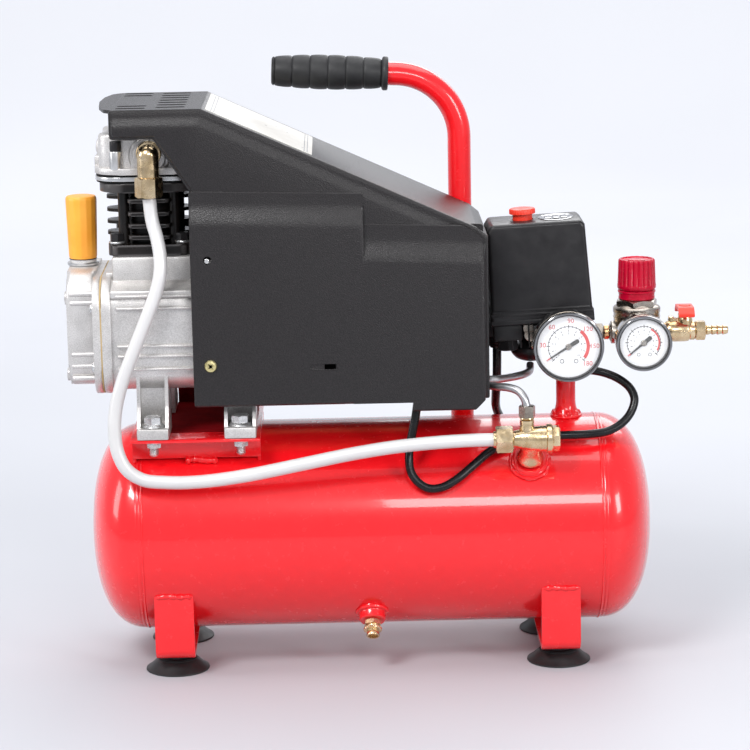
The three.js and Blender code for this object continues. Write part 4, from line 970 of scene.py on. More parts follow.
def cylinder_head():
    low = 379.7
    flange = prism(rounded(40.2, 38, 20, CYL_X, 0), "Z", low, low + 5, 1.3)
    body = prism(rounded(37, 32, 15, CYL_X, 0), "Z", low + 2, 405, 3.0, 4)
    arch = [rod((CYL_X + 2, -30, 393), (CYL_X + 2, -35, 393), 15.6, 64, 2.2), rod((CYL_X + 2, -30, 393), (CYL_X + 2, -36.6, 393), 12.4, 64, 1.4)]
    apron = box(CYL_X - 12.2, CYL_X + 14.2, -36, -28, low + 2, 392, 1.8)
    lobes = [
        rod((CYL_X + sx * 26, sy * 22, low + 3), (CYL_X + sx * 26, sy * 22, top), 10.5, 48, 2.5)
        for sx, top in ((-1, 410), (1, 406)) for sy in (-1, 1)
    ]
    hump = rod((CYL_X - 27, -12, 398), (CYL_X - 27, 25, 398), 12.5, 48, 2.5)
    port = rod((CYL_X + 2, -30, 396), (CYL_X + 2, -36.7, 396), 9.5, 40, 1.0)
    fins = [box(CYL_X - 14, CYL_X + 30, y - 1.3, y + 1.3, 398, 409, 1.0) for y in (-18, -6, 6, 18)]
    tab = box(CYL_X - 41, CYL_X - 32, -9, 9, low + 1, low + 12, 2)
    wells = [rod((CYL_X + sx * 26, sy * 22, 396), (CYL_X + sx * 26, sy * 22, 412), 6.6, 32) for sx in (1,) for sy in (-1, 1)]
    casting = combine(union(body, flange, port, hump, apron, tab, *arch, *lobes, *fins), wells)
    piece("head_casting", "frame", casting, CAST, "cylinder_head", sharp=38)
    places = [(CYL_X - 23, -33.2, 397.4), (CYL_X + 26, -22, 396.1), (CYL_X - 23, 33.2, 397.4), (CYL_X + 26, 22, 396.1)]
    screws = [rod((x, y, z), (x, y, z + 7.6), 4.3, 32, 0.8) for x, y, z in places]
    columns = [rod((x, y, low + 4), (x, y, z), 5, 32, 0.5) for x, y, z in places if x < CYL_X]
    piece("head_columns", "frame", join(*columns), MACHINED)
    piece("head_bolts", "frame", join(*screws), SMOOTH_BLACK)


def head_elbow():
    x, drop, height = -161, -52.4, 396
    stub = rod((x, -36.9, height), (x, drop, height), 7.2, 40)
    collar = rod((x, -38.6, height), (x, -43.4, height), 9.4, 40, 0.8)
    ball = lathe([(8.1 * math.sin(math.pi * k / 20), -8.1 * math.cos(math.pi * k / 20)) for k in range(21)], Z, (x, drop, height), 48)
    down = rod((x, drop, height), (x, drop, 380.4), 8.1, 48)
    neck = lathe([(0, 0), (7.2, 0), (7.2, 1.6), (8.1, 2.4), (0, 2.4)], Z, (x, drop, 379.0), 40)
    nut = hexagon((x, drop, 380.0), (x, drop, 365.0), 18, 0.6, spin=0.52)
    piece("elbow_fitting", "frame", join(stub, collar, ball, down, neck, nut), BRASS, "head_elbow", sharp=34)


DISCHARGE_ROUTE = [
    (-161, -52.4, 363.8), (-159.4, -54, 348.3), (-156, -58, 335.4), (-153.8, -62, 321.1), (-154.2, -65, 308.9),
    (-157.4, -67, 296.7), (-163, -69, 282.2), (-170.1, -70, 265.3), (-177.3, -71, 248.3), (-184.6, -72, 229.8),
    (-189.6, -73, 211.2), (-191.2, -75, 195), (-189.1, -77, 177.9), (-182.8, -78, 165.1), (-171.2, -78, 157.2),
    (-153.5, -78, 154.8), (-130.5, -78, 154.7), (-96.1, -79, 158.7), (-55.1, -80, 166.4), (-14.8, -80, 174),
    (17.9, -79, 178.4), (49.9, -78, 180.8), (72.3, -77, 181.5), (92, -76.5, 181.6),
]


def discharge_tube():
    pipe = tube(smooth_path(DISCHARGE_ROUTE, 6), 5, 28)
    piece("discharge_pipe", "frame", pipe, WHITE_TUBE, "discharge_tube", sharp=60)
    nut = hexagon((91.4, -76.5, 181.6), (104.2, -76.5, 181.6), 18.2, 0.6, spin=0.52)
    sleeve = rod((89.6, -76.5, 181.6), (92.5, -76.5, 181.6), 6.2, 32, 0.5)
    piece("discharge_nut", "frame", join(nut, sleeve), BRASS, sharp=30)


crankcase()
crankcase_cover()
sight_glass()
breather()
cylinder()
valve_plate()
cylinder_head()
head_elbow()
discharge_tube()

# ---- shroud -------------------------------------------------------------------------------------------------
FRONT_Y, BACK_Y = -67.0, 62.0
ROOF_Z = 431.0
SIDE = [  # the shroud from the front, in X and Z, counter-clockwise
    (-131, 210.5), (31, 210.5), (33, 204), (77, 204), (84.5, 211), (88, 211), (88, 333), (80, 339.5),
    (-120.5, ROOF_Z), (-188, ROOF_Z), (-188, 409.5), (-156.2, 409.5), (-131, 371),
]
ROOF_EDGES = (6, 7, 8)  # the slope with its low corner, and the roof


def inset(points, amounts):
    """The outline with each edge, from its own point to the next, moved inwards by its own amount."""
    out = []
    count = len(points)
    for i, here in enumerate(points):
        before = (Vector(here) - Vector(points[i - 1])).normalized()
        after = (Vector(points[(i + 1) % count]) - Vector(here)).normalized()
        n1, n2 = Vector((-before.y, before.x)), Vector((-after.y, after.x))
        a, b = amounts[i - 1], amounts[i]
        size = n1.x * n2.y - n1.y * n2.x
        out.append(Vector(here) + Vector(((a * n2.y - b * n1.y) / size, (n1.x * b - n2.x * a) / size)))
    return out


def loft(rings):
    """A closed solid through rings of points that match one to one."""
    bm = bmesh.new()
    made = [[bm.verts.new(p) for p in ring] for ring in rings]
    count = len(made[0])
    for low, high in zip(made, made[1:]):
        for i in range(count):
            j = (i + 1) % count
            bm.faces.new((low[i], low[j], high[j], high[i]))
    bm.faces.new(made[0])
    bm.faces.new(made[-1])
    return mesh_of(bm)


def eased(t):
    return t * t * (3 - 2 * t)


def shroud_body():
    """The main box. Under the roof's and the slope's edge the wall drops straight, then flares out."""
    section = [(1.2, 0.0, 0.0), (0.35, 0.3, 0.3), (0.0, 1.1, 1.0), (0.0, 4.6, 1.2)]  # in, down, round
    section += [(-2.4 * eased(k / 7), 4.6 + 8.4 * k / 7, 1.2 + 1.8 * k / 7) for k in range(1, 8)]
    rings = []
    for side, y_wall in ((-1, FRONT_Y), (1, BACK_Y)):
        part = []
        for reach, down, round_ in section:
            amounts = [down if i in ROOF_EDGES else round_ for i in range(len(SIDE))]
            line = fillet([(p.x, p.y) for p in inset(SIDE, amounts)], 2.5, 3)
            part.append([(p.x, y_wall - side * reach, p.y) for p in line])
        rings.append(part)
    return loft(rings[0][::-1] + rings[1])


def bulge(x0, x1, line_left, line_right, band, y_out, low):
    """A raised panel of the front wall: a fine ledge along its top line, then an S-curve out to y_out."""
    wall = FRONT_Y - 2.4
    curve = [(wall - 0.9 + (y_out - wall + 0.9) * eased(k / 9), -band + 9 - 18 * k / 9) for k in range(10)]
    upper = [(-60, 0), (wall - 0.2, 0), (wall - 0.9, -0.7), *curve]
    lower = [(y_out, low + 1.2), (y_out + 1.2, low), (-60, low)]
    rounds = [(0, 2.6), (0.35, 1.2), (1.3, 0.35), (2.8, 0)]
    rings = []
    for x, line, side in ((x0, line_left, 1), (x1, line_right, -1)):
        part = []
        for step, drop in rounds:
            at = x + side * step
            top = [(at, y + (drop * 0.5 if y < wall - 1 else 0), line - drop + z) for y, z in upper]
            part.append(top + [(at, y + drop * 0.5 if y < wall - 1 else y, z + drop * 0.3) for y, z in lower])
        rings += part if side == 1 else part[::-1]
    return loft(rings)


def shroud():
    body = shroud_body()
    left_bulge = bulge(-131.4, -3.5, 371, 367.4, 17, -75, 210.5)
    corner = prism([Vector(p) for p in ((60, 346), (90, 346), (90, 200), (84.5, 200), (84.5, 331), (79, 336.5))], "Y", -90, -62)
    chamfer = prism([Vector(p) for p in ((76.6, 203.6), (74, 198), (95, 198), (95, 222))], "Y", -90, -62)
    right_bulge = combine(bulge(-14, 84.6, 344.8, 341.6, 20, -74.97, 204), [corner, chamfer])
    lip = prism(
        fillet([(-120, FRONT_Y + 0.3, 1), (-185, FRONT_Y + 0.3, 14), (-192, -58, 12), (-197, -34, 20), (-199, -2, 20), (-197.5, 30, 20),
                (-193, 53, 12), (-186, BACK_Y - 0.3, 14), (-120, BACK_Y - 0.3, 1)], 1, 6),
        "Z", ROOF_Z - 2.6, ROOF_Z + 0.0, 0.9, 3,
    )
    inside = [(-191, 190), (74, 190), (76.4, 192), (76.4, 332), (72, 340.3), (-121.1, ROOF_Z - 2.6), (-185.4, ROOF_Z - 2.6), (-185.4, 300)]
    cuts = [
        prism([Vector(p) for p in inside], "Y", FRONT_Y + 2.6, BACK_Y - 2.6),
        box(-133, -6, -72.4, FRONT_Y + 3.6, 190, 338),
        box(-7, 76.4, -71.9, FRONT_Y + 3.6, 190, 312),
        box(79, 89, FRONT_Y + 4, BACK_Y - 4, 190, 326),
        box(-20, 30.9, -80, -60, 200, 210.6),
        box(-45, -25, -80, -73.9, 236.7, 241.3, 0.4),
        box(-34.6, -26, -80, -72.9, 237.0, 241.0, 0.4),
        rod((-118.6, -80, 320.4), (-118.6, -70, 320.4), 3.1, 24),
    ]
    for y in (-54, -38, 38, 54):
        cuts.append(prism(rounded(11, 3.0, 2.8, -172.5, y, 4), "Z", 426, 432))
    for y in (-50, -33, -16, 1, 18, 35, 52):
        cuts.append(prism(rounded(11, 3.0, 2.8, -143.5, y, 4), "Z", 426, 432))
    for i in range(6):
        y = -35 + i * 14
        cuts.append(prism(rounded(2.5, 40, 2.4, y, 272, 4), "X", 75, 80))
    shell = combine(union(body, left_bulge, right_bulge, lip), cuts)
    piece("shroud_shell", "frame", shell, SHROUD_BLACK, "shroud", sharp=30)
    pin = rod((-119.2, -74.2, 319.7), (-119.2, -71.6, 319.7), 2.0, 20, 0.6)
    piece("shroud_pin", "frame", pin, ZINC)
    screws = [cross_screw((-118.5, -75.1, 241.5), -Y, 4.6, 2.4), cross_screw((66, BACK_Y + 2.5, 240), Y, 4.6, 2.4),
              cross_screw((-118.5, BACK_Y + 2.5, 241.5), Y, 4.6, 2.4)]
    piece("shroud_screws", "frame", join(*screws), YELLOW_ZINC, sharp=30)
    # Painted shade: black inlays in the front screw's cross recess and on the floor of the front slot, where the
    # recesses lie in shade.
    turn = Matrix.Translation((-118.5, -76.6, 241.5)) @ Matrix.Rotation(0.5, 4, "Y")
    shade_inlays = [moved(box(-2.4, 2.4, -0.3, 0.3, -0.6, 0.6), turn), moved(box(-0.6, 0.6, -0.3, 0.3, -2.4, 2.4), turn),
             box(-34.4, -26.2, -73.2, -72.95, 237.2, 240.8)]
    piece("shroud_recess_shade_inlays", "frame", join(*shade_inlays), RECESS_SHADE, sharp=30)


def slope_label():
    """A blank label over the slope, with two fine lines at each end."""
    top, foot = Vector((-120.5, 0, ROOF_Z)), Vector((80, 0, 339.5))
    along = (foot - top).normalized()
    normal = Vector((-along.z, 0, along.x)) if along.x > 0 else Vector((along.z, 0, -along.x))

    def sheet_on(a0, a1, y0, y1, lift, thick):
        frame_ = Matrix((along, Y, normal)).transposed().to_4x4()
        flat = prism(rounded((a1 - a0) / 2, (y1 - y0) / 2, 2.0, (a0 + a1) / 2, (y0 + y1) / 2, 4), "Z", lift, lift + thick)
        return moved(flat, Matrix.Translation(top) @ frame_)

    def strip(a0, a1):
        frame_ = Matrix((along, Y, normal)).transposed().to_4x4()
        return moved(box(a0, a1, -56, 51, 0.3, 0.36), Matrix.Translation(top) @ frame_)

    piece("slope_label", "frame", sheet_on(3, 88, -60, 55, 0.04, 0.26), LABEL)
    lines = [strip(a, a + 0.7) for a in (7, 9.4, 81.4, 83.8)]
    piece("slope_label_lines", "frame", join(*lines), GREY_INK)


shroud()
slope_label()

# ---- handle ---------------------------------------------------------------------------------------------------
def handle():
    x, y, bend, z, r = 73.8, 73.0, 50.0, 440.5, 9.1
    turn = math.radians(87.5)
    centre = Vector((x - bend, y, z - bend))
    arc = [centre + Vector((math.cos(turn * i / 24), 0, math.sin(turn * i / 24))) * bend for i in range(25)]
    heading = Vector((-math.sin(turn), 0, math.cos(turn)))
    end = arc[-1] + heading * 93.5
    foot = [Vector((x, y, 133 + (z - bend - 133) * k / 12)) for k in range(12)]
    path = foot + arc + [arc[-1] + heading * 93.5 * k / 6 for k in range(1, 7)]
    pipe = combine(tube(path, r, 40), [tank_blank()])
    touch = TANK_Z + math.sqrt(TANK_R ** 2 - y ** 2)
    bead = weld_ring((x, y - 1.2, touch + 1.5), (0, 0.35, 1), r + 0.4, 1.9, 44, 5.0)
    piece("handle_pipe", "frame", join(pipe, bead), RED, "handle_tube", sharp=60)

    length, wall = 87.0, 3.2
    barrel = [(0, -wall), (9.4, -wall), (10.6, -wall + 0.6), (11.2, -wall + 2)]
    grooves = 6
    for k in range(97):
        h = -1 + (length - 4) * k / 96
        swell = 11.5 + 2.0 * math.sin(math.pi * k / 96) ** 0.9
        wave = abs(math.sin(math.pi * grooves * k / 96))
        barrel.append((swell - 1.15 * (1 - wave ** 0.28), h))
    barrel += [(12.4, length - 4.2), (13.1, length - 3.4), (13.1, length - 0.6), (12.2, length + 0.2), (r + 0.2, length + 0.2),
               (r + 0.2, 0.3), (0, 0.3)]
    grip = lathe(barrel, -heading, end + heading * 0.5, 64)
    piece("grip_sleeve", "frame", grip, RUBBER, "handle_grip", sharp=50)


handle()

# ---- post, manifold and pressure switch ---------------------------------------------------------------------------
POST_X, PORT_Z = 150.0, 246.5
REG_X = 204.6
SWITCH_LEAN = Matrix.Translation((129, 0, 258)) @ Matrix.Rotation(math.radians(-2.5), 4, "Y") @ Matrix.Translation((-129, 0, -258))


KNOB_X = 121.3


def post():
    foot = TANK_Z + TANK_R - 3
    profile = [(4.5, 0), (11.4, 0), (11.2, 3.6), (10.2, 6.0), (9.2, 7.6), (8.3, 9.2), (7.7, 12), (7.5, 15), (7.5, 56.0),
               (7.1, 56.3), (4.5, 56.3), (4.5, 0)]
    stem = combine(lathe(profile, Z, (POST_X, 0, foot), 56), [tank_blank()])
    lumps = []
    for i in range(9):
        a = 2 * math.pi * i / 9
        at = Vector((POST_X + 8.8 * math.cos(a), 8.8 * math.sin(a), foot + 5.4 + 0.7 * math.sin(3.1 * i)))
        lumps.append(lathe([(0, -2.6), (1.9, -1.8), (2.9, 0), (1.9, 1.8), (0, 2.6)], Z, at, 14))
    ring_ = weld_ring((POST_X, 0, foot + 3.4), Z, 10.9, 1.4, 48, 0.7)
    piece("post_pipe", "frame", join(stem, ring_, *lumps), RED, "manifold_post", sharp=60)


def manifold():
    cube = box(141, 167.6, -11, 11, 235.9, 257.4, 1.4, 3)
    piece("manifold_brass", "frame", cube, BRASS, "manifold_block", sharp=40)
    hexes = [hexagon((170.4, 0, PORT_Z), (178.4, 0, PORT_Z), 13.4, 0.5, 0.3)]
    thread = [(0, 0)]
    for k in range(13):
        thread += [(4.55, k * 1.2 + 0.2), (5.1, k * 1.2 + 0.8)]
    thread += [(4.6, 16.3), (0, 16.3)]
    nipple = join(lathe(thread, X, (167.9, 0, PORT_Z), 36), *hexes)
    piece("nipple_turned", "frame", nipple, DARK_NICKEL, "regulator_nipple", sharp=30)
    tape = lathe([(4.8, 0), (5.6, 0.3), (5.4, 1.8), (5.7, 3.2), (4.8, 3.6), (4.8, 0)], X, (179.4, 0, PORT_Z), 36)
    piece("thread_sealant", "frame", tape, COPPERY)


def switch_outline():
    left, right, low, top = 92, 170.6, 258.5, 335.5
    return fillet([
        (left, low, 0.6), (right, low, 0.6), (right - 0.3, 267.4, 0.8), (169.2, 268.9, 0.4), (166.4, top - 3, 1.0),
        (163.6, top, 3.4), (96, top, 4.2), (92.8, top - 5, 1.6), (92.8, 268.9, 0.4), (left, 267.4, 0.8),
    ], steps=5)


def switch_cover():
    line = switch_outline()
    middle = Vector((130, 298))

    def shrunk(by):
        k = Matrix.Diagonal((1 - by / 38.0, 1 - by / 38.5))
        return [middle + k @ (p - middle) for p in line]

    face = [(0.0, 2.6), (0.35, 1.4), (1.1, 0.5), (2.6, 0.0)]  # depth behind the face, shrink
    rings = [[(p.x, -25 + depth, p.y) for p in shrunk(by)] for depth, by in face]
    rings += [[(p.x, 25 - depth, p.y) for p in shrunk(by)] for depth, by in face[::-1]]
    block = loft(rings)
    inner = prism([middle + Matrix.Diagonal((0.94, 0.94)) @ (p - middle) for p in line], "Y", -22.6, 22.6)
    skirt = box(95.5, 168.5, -21, 21, 250, 262)
    knob_hole = rod((KNOB_X, 0, 320), (KNOB_X, 0, 340), 8.2, 40)
    groove = box(88, 176, -26, -24.5, 268.9, 269.6)
    shell = combine(block, [inner, skirt, knob_hole, groove])
    lip_low = box(92.2, 170.2, -25.3, -24.6, 259.2, 262.4, 0.3)
    lip_high = box(92.4, 169.8, -25.35, -24.6, 265.4, 267.6, 0.3)
    shell = join(shell, lip_low, lip_high, mirrored_y(lip_low), mirrored_y(lip_high))
    piece("switch_shell", "frame", moved(shell, SWITCH_LEAN), SMOOTH_BLACK, "switch_cover", sharp=34)
    badge = lathe([(0, 0), (13.2, 0), (13.2, 0.5), (12.2, 0.9), (10.6, 0.5), (10.2, 0.35), (0, 0.35)], Z, (146.5, 0, 335.45), 56)
    badge = moved(badge, Matrix.Translation((146.5, 0, 0)) @ Matrix.Diagonal((1, 1.3, 1, 1)) @ Matrix.Translation((-146.5, 0, 0)))
    bars = [box(146.5 + d - 2.2, 146.5 + d + 2.2, -7, 7, 335.8, 336.2, 0.15) for d in (-6, 0, 6)]
    rim = moved(join(badge, *bars), SWITCH_LEAN)
    piece("switch_top_mark", "frame", rim, CHROME)
    screw = moved(cross_screw((160, 18, 262), (1, 0.1, 0), 2.4, 1.6), SWITCH_LEAN)
    piece("switch_side_screw", "frame", screw, ZINC)


def switch_base():
    tray = box(96.6, 167, -21.6, 21.6, 258.8, 262, 0.8)
    dish = lathe([(0, 226.2), (7, 226.2), (9.8, 227.2), (12.5, 228.6), (14.6, 230.8), (16, 233), (16.5, 235), (16.5, 237), (15.4, 238.4),
                  (10, 241), (8.5, 245), (8.5, 262), (0, 262)], Z, (123.5, 3, 0), 64)
    block = box(104, 156, -15, 15, 261, 300, 2.0)
    lugs = [box(101, 113, -18.5, -10, 252, 259.4, 0.8), box(134, 160, -16, 14, 257.6, 259.4, 0.6)]
    lugs.append(box(94, 115.6, -21, -2, 246, 259, 1.2))
    lugs.append(hexagon((104.4, -13, 246.4), (104.4, -13, 238.4), 14.6, 0.8))
    fins = [box(107 + 6.4 * k, 108.2 + 6.4 * k, -20, -14.8, 240, 259, 0.4) for k in range(4)]
    piece("switch_tray", "frame", moved(join(tray, dish, block, *lugs, *fins), SWITCH_LEAN), SMOOTH_BLACK,
          "switch_base", sharp=34)
    brass_bits = [rod((122, -10.6, 249), (122, -16.4, 249), 5.2, 32, 0.6), rod((122, -12, 241), (130, -12, 241), 4.0, 24, 0.5),
                  hexagon((116.5, -13.5, 254.5), (124.5, -13.5, 254.5), 8.5, 0.4)]
    piece("switch_ports", "frame", moved(join(*brass_bits), SWITCH_LEAN), DARK_NICKEL, sharp=30)


def switch_knob():
    ribs, count = 28, 168
    rows = [(7.5, 312, 0), (7.5, 339.6, 0), (8.6, 339.8, 0), (9.9, 340.1, 0.3), (9.9, 343.2, 0.3), (9.4, 343.9, 0.1), (8.4, 344.1, 0)]
    rings = []
    for r, h, rib in rows:
        ring_ = []
        for k in range(count):
            a = 2 * math.pi * k / count
            size = r - rib * (0.5 + 0.5 * math.cos(a * ribs))
            ring_.append((KNOB_X + size * math.cos(a), size * math.sin(a), h))
        rings.append(ring_)
    knob = moved(loft(rings), SWITCH_LEAN)
    piece("switch_button", "switch_knob", knob, KNOB_RED, "switch_knob", sharp=40)


def gland(name, x, y, node):
    """A moulded strain relief with two ribs and a block either side, tapering onto its cable."""
    sleeve = lathe([(4.4, 236.9), (5.2, 236.9), (5.8, 239.5), (6.0, 243.2), (6.8, 243.6), (6.8, 258.3), (4.4, 258.3), (4.4, 236.9)],
                   Z, (x, y, 0), 48)
    ribs = [lathe([(4.5, z), (6.2, z), (6.5, z + 0.6), (6.2, z + 1.2), (4.5, z + 1.2), (4.5, z)], Z, (x, y, 0), 40) for z in (238.2, 240.4)]
    blocks = [box(x - 8.5, x + 8.5, y - 8.5, y - 4.6, 246.5, 258, 1.0), box(x - 8.5, x + 8.5, y + 4.6, y + 8.5, 246.5, 258, 1.0)]
    piece(name, "frame", moved(join(sleeve, *ribs, *blocks), SWITCH_LEAN), SMOOTH_BLACK, node, sharp=34)


# ---- gauges ---------------------------------------------------------------------------------------------------------
def face_text(word, size, x, z):
    """Dial numbers as a flat mesh facing -Y, centred on x and z."""
    curve = bpy.data.curves.new("number", "FONT")
    curve.body = word
    curve.size = size
    curve.align_x = "CENTER"
    curve.align_y = "CENTER"
    curve.resolution_u = 3
    holder = bpy.data.objects.new("number", curve)
    bpy.context.scene.collection.objects.link(holder)
    bpy.context.view_layer.update()
    mesh = bpy.data.meshes.new_from_object(holder.evaluated_get(bpy.context.evaluated_depsgraph_get()))
    bpy.data.objects.remove(holder)
    bm = bmesh.new()
    bm.from_mesh(mesh)
    bmesh.ops.remove_doubles(bm, verts=bm.verts, dist=1e-4)
    shape = bmesh.ops.extrude_face_region(bm, geom=bm.faces[:])
    bmesh.ops.translate(bm, verts=[v for v in shape["geom"] if isinstance(v, bmesh.types.BMVert)], vec=(0, 0, 0.08))
    stand = Matrix.Translation((x, 0, z)) @ Matrix.Rotation(math.pi / 2, 4, "X")
    return moved(mesh_of(bm), stand)


def dial_arc(r0, r1, from_deg, to_deg, steps=24, thick=0.08):
    """A flat arc facing -Y."""
    points = []
    for r, order in ((r1, range(steps + 1)), (r0, range(steps, -1, -1))):
        for k in order:
            a = math.radians(from_deg + (to_deg - from_deg) * k / steps)
            points.append(Vector((r * math.cos(a), r * math.sin(a))))
    return prism(points, "Y", -thick, 0)


def gauge(name, at, r, depth, stem, needle_deg, red_arc, numbers, scale):
    """A pressure gauge facing -Y with its case, dial, print, needle and lens. at is the base's centre."""
    place = Matrix.Translation(at)
    dial_y = -depth + 4.5

    case = [(0, 0.0), (r - 3.4, 0), (r - 1.9, 0.5), (r - 0.9, 2), (r - 0.7, 3.4), (r - 0.7, depth - 5.2), (r - 1.1, depth - 4.8),
            (r - 1.1, depth - 4.4), (r - 0.2, depth - 4.1), (r, depth - 3.4), (r, depth - 1.2), (r - 0.35, depth - 0.35), (r - 1.0, depth),
            (r - 1.9, depth - 0.15), (r - 2.3, depth - 1.0), (r - 2.4, depth - 3.6), (r - 2.4, depth - 4.5), (0, depth - 4.5)]
    shell = lathe(case, -Y, (0, 0, 0), 112)
    neck = rod((0, -1, 0), (0, stem, 0), 4.8, 32)
    flats = hexagon((0, -0.5, 0), (0, min(stem - 2, 6), 0), 12)
    piece(name + "_shell", "frame", moved(join(shell, neck, flats), place), CHROME, name + "_case", sharp=34)
    band = lathe([(r - 2.35, depth - 1.3), (r - 1.5, depth - 0.45), (r - 2.3, depth - 0.35), (r - 3.0, depth - 1.6), (r - 3.0, depth - 4.3),
                  (r - 2.35, depth - 4.3), (r - 2.35, depth - 1.3)], -Y, (0, 0, 0), 112)
    piece(name + "_seal", "frame", moved(band, place), SMOOTH_BLACK)
    back_band = lathe([(r - 0.75, depth - 8.6), (r - 0.1, depth - 8.4), (r - 0.1, depth - 5.6), (r - 0.75, depth - 5.4), (r - 0.75, depth - 8.6)],
                      -Y, (0, 0, 0), 112)
    piece(name + "_band", "frame", moved(back_band, place), DARK_NICKEL)

    plate = lathe([(0, 0), (r - 3.1, 0), (r - 3.1, 0.25), (0, 0.25)], -Y, (0, dial_y - 0.05, 0), 96)
    piece(name + "_dial", "frame", moved(plate, place), DIAL)

    print_y = Matrix.Translation((0, dial_y - 0.32, 0))
    start, sweep, most, step = scale["start"], scale["sweep"], scale["most"], scale["step"]
    fine = []
    for k in range(int(most / step) * 4 + 1):
        a = math.radians(start - sweep * k / (int(most / step) * 4))
        long_ = k % 4 == 0
        r0, r1 = scale["r"] - (0.9 if long_ else 0.2), scale["r"] + (1.3 if long_ else 0.55)
        tick = box(r0 - 0.5, r1, -0.08, 0, -0.26, 0.26)
        fine.append(moved(tick, print_y @ Matrix.Rotation(-a, 4, "Y")))
    fine.append(moved(dial_arc(scale["r"] - 0.2, scale["r"] + 0.2, start, start - sweep, 64), print_y))
    inner_r = scale["r"] - 3.4
    for k in range(11):
        a = math.radians(start - sweep * k / 10)
        fine.append(moved(box(inner_r - 0.3, inner_r + 1.1, -0.08, 0, -0.22, 0.22), print_y @ Matrix.Rotation(-a, 4, "Y")))
        at_r = inner_r - 1.9
        fine.append(moved(face_text(str(k), r * 0.075, at_r * math.cos(a), at_r * math.sin(a)), print_y))
    for sx in (-1, 1):
        spot = Vector((sx * r * 0.2 + 0.3, -r * 0.42))
        rim = dial_arc(r * 0.045, r * 0.062, 0, 358, 24)
        fine.append(moved(rim, print_y @ Matrix.Translation((spot.x, 0, spot.y))))
    piece(name + "_scale", "frame", moved(join(*fine), place), INK, sharp=30)
    words = []
    for word, a_deg in numbers:
        a = math.radians(a_deg)
        words.append(moved(face_text(word, r * 0.19, scale["text_r"] * math.cos(a), scale["text_r"] * math.sin(a)), print_y))
    words.append(moved(dial_arc(red_arc["r0"], red_arc["r1"], red_arc["from"], red_arc["to"]), Matrix.Translation((0, -0.02, 0)) @ print_y))
    piece(name + "_red_print", "frame", moved(join(*words), place), red_arc["ink"], sharp=30)

    turn = place @ Matrix.Rotation(-math.radians(needle_deg), 4, "Y")
    blade = fillet([(-r * 0.34, -1.5, 1.2), (-r * 0.34, 1.5, 1.2), (-r * 0.12, 1.5, 0.3), (0, 0.9, 0.2), (r * 0.62, 0.42, 0.1),
                    (r * 0.62, -0.42, 0.1), (0, -0.9, 0.2), (-r * 0.12, -1.5, 0.3)], steps=3)
    pointer = prism(blade, "Y", dial_y - 1.3, dial_y - 0.7)
    tip = prism([Vector(p) for p in ((r * 0.62, -0.42), (r * 0.74, -0.2), (r * 0.74, 0.2), (r * 0.62, 0.42))], "Y", dial_y - 1.3, dial_y - 0.7)
    hub = lathe([(0, 0.5), (2.3, 0.5), (2.3, 1.5), (1.7, 2.0), (0, 2.1)], -Y, (0, dial_y - 0.2, 0), 40)
    needle_name = name.replace("_gauge", "") + "_needle"
    piece(needle_name, name + "_needle", moved(pointer, turn), INK, name + "_needle", sharp=30)
    piece(needle_name + "_tip", name + "_needle", moved(tip, turn), RED_INK, sharp=30)
    piece(needle_name + "_hub", name + "_needle", moved(hub, turn), DARK_NICKEL, sharp=30)
    lens = lathe([(0, 0), (r - 2.5, 0), (r - 2.5, 0.6), (0, 0.6)], -Y, (0, -depth + 1.5, 0), 96)
    piece(name + "_lens", "frame", moved(lens, place), LENS, sharp=30)


# ---- regulator and outlet -----------------------------------------------------------------------------------------------
def regulator():
    place = Matrix.Translation((REG_X, 0, 0))
    shell = lathe([(0, 226), (7.4, 226), (8.4, 226.6), (10.4, 228), (11.5, 230), (11.8, 233.6), (13, 235.4), (16.6, 237.6), (17.4, 238.8),
                   (17.6, 241), (17.6, 261.8), (18.1, 262.6), (18.1, 265.4), (17.2, 266.6), (15.4, 267.4), (14.2, 268.6), (0, 268.6)], Z, (0, 0, 0), 96)
    bands = [lathe([(17.2, z), (18.0, z + 0.3), (18.0, z + 1.1), (17.2, z + 1.4), (17.2, z)], Z, (0, 0, 0), 96) for z in (243, 258)]
    ports = [rod((0, 0, PORT_Z), p, 8.8, 48, 0.9) for p in ((-20, 0, PORT_Z), (18.2, 0, PORT_Z), (0, -18.2, PORT_Z))]
    ears = [prism(rounded(3.6, 7.2, 2.4, s * 17.5, PORT_Z), "Y", -4, 4, 1.2) for s in (-1, 1)]
    neck = hexagon((0, 0, 266.4), (0, 0, 272.2), 28.4, 0.5, 0.26)
    body = combine(union(shell, neck, *ports, *ears, *bands), [rod((0, 0, 256), (0, 0, 273), 6.2, 40)])
    piece("regulator_casting", "frame", moved(body, place), DARK_NICKEL, "regulator_body", sharp=34)
    ring_ = lathe([(6.4, 272.5), (13.3, 272.5), (13.9, 273.2), (13.6, 275.2), (13.9, 277.4), (14.4, 277.9), (14.4, 278.8), (13.8, 279.3),
                   (6.4, 279.3), (6.4, 272.5)], Z, (0, 0, 0), 80)
    piece("lock_ring", "frame", moved(ring_, place), RED_PLASTIC, "regulator_lock_ring", sharp=34)


def fluted(x, rows, flutes, count):
    """A lofted knob: rows of (radius, height, flute depth)."""
    rings = []
    for r, h, depth in rows:
        ring_ = []
        for k in range(count):
            a = 2 * math.pi * k / count
            size = r - depth * (0.5 + 0.5 * math.cos(a * flutes)) ** 3
            ring_.append((x + size * math.cos(a), size * math.sin(a), h))
        rings.append(ring_)
    return loft(rings)


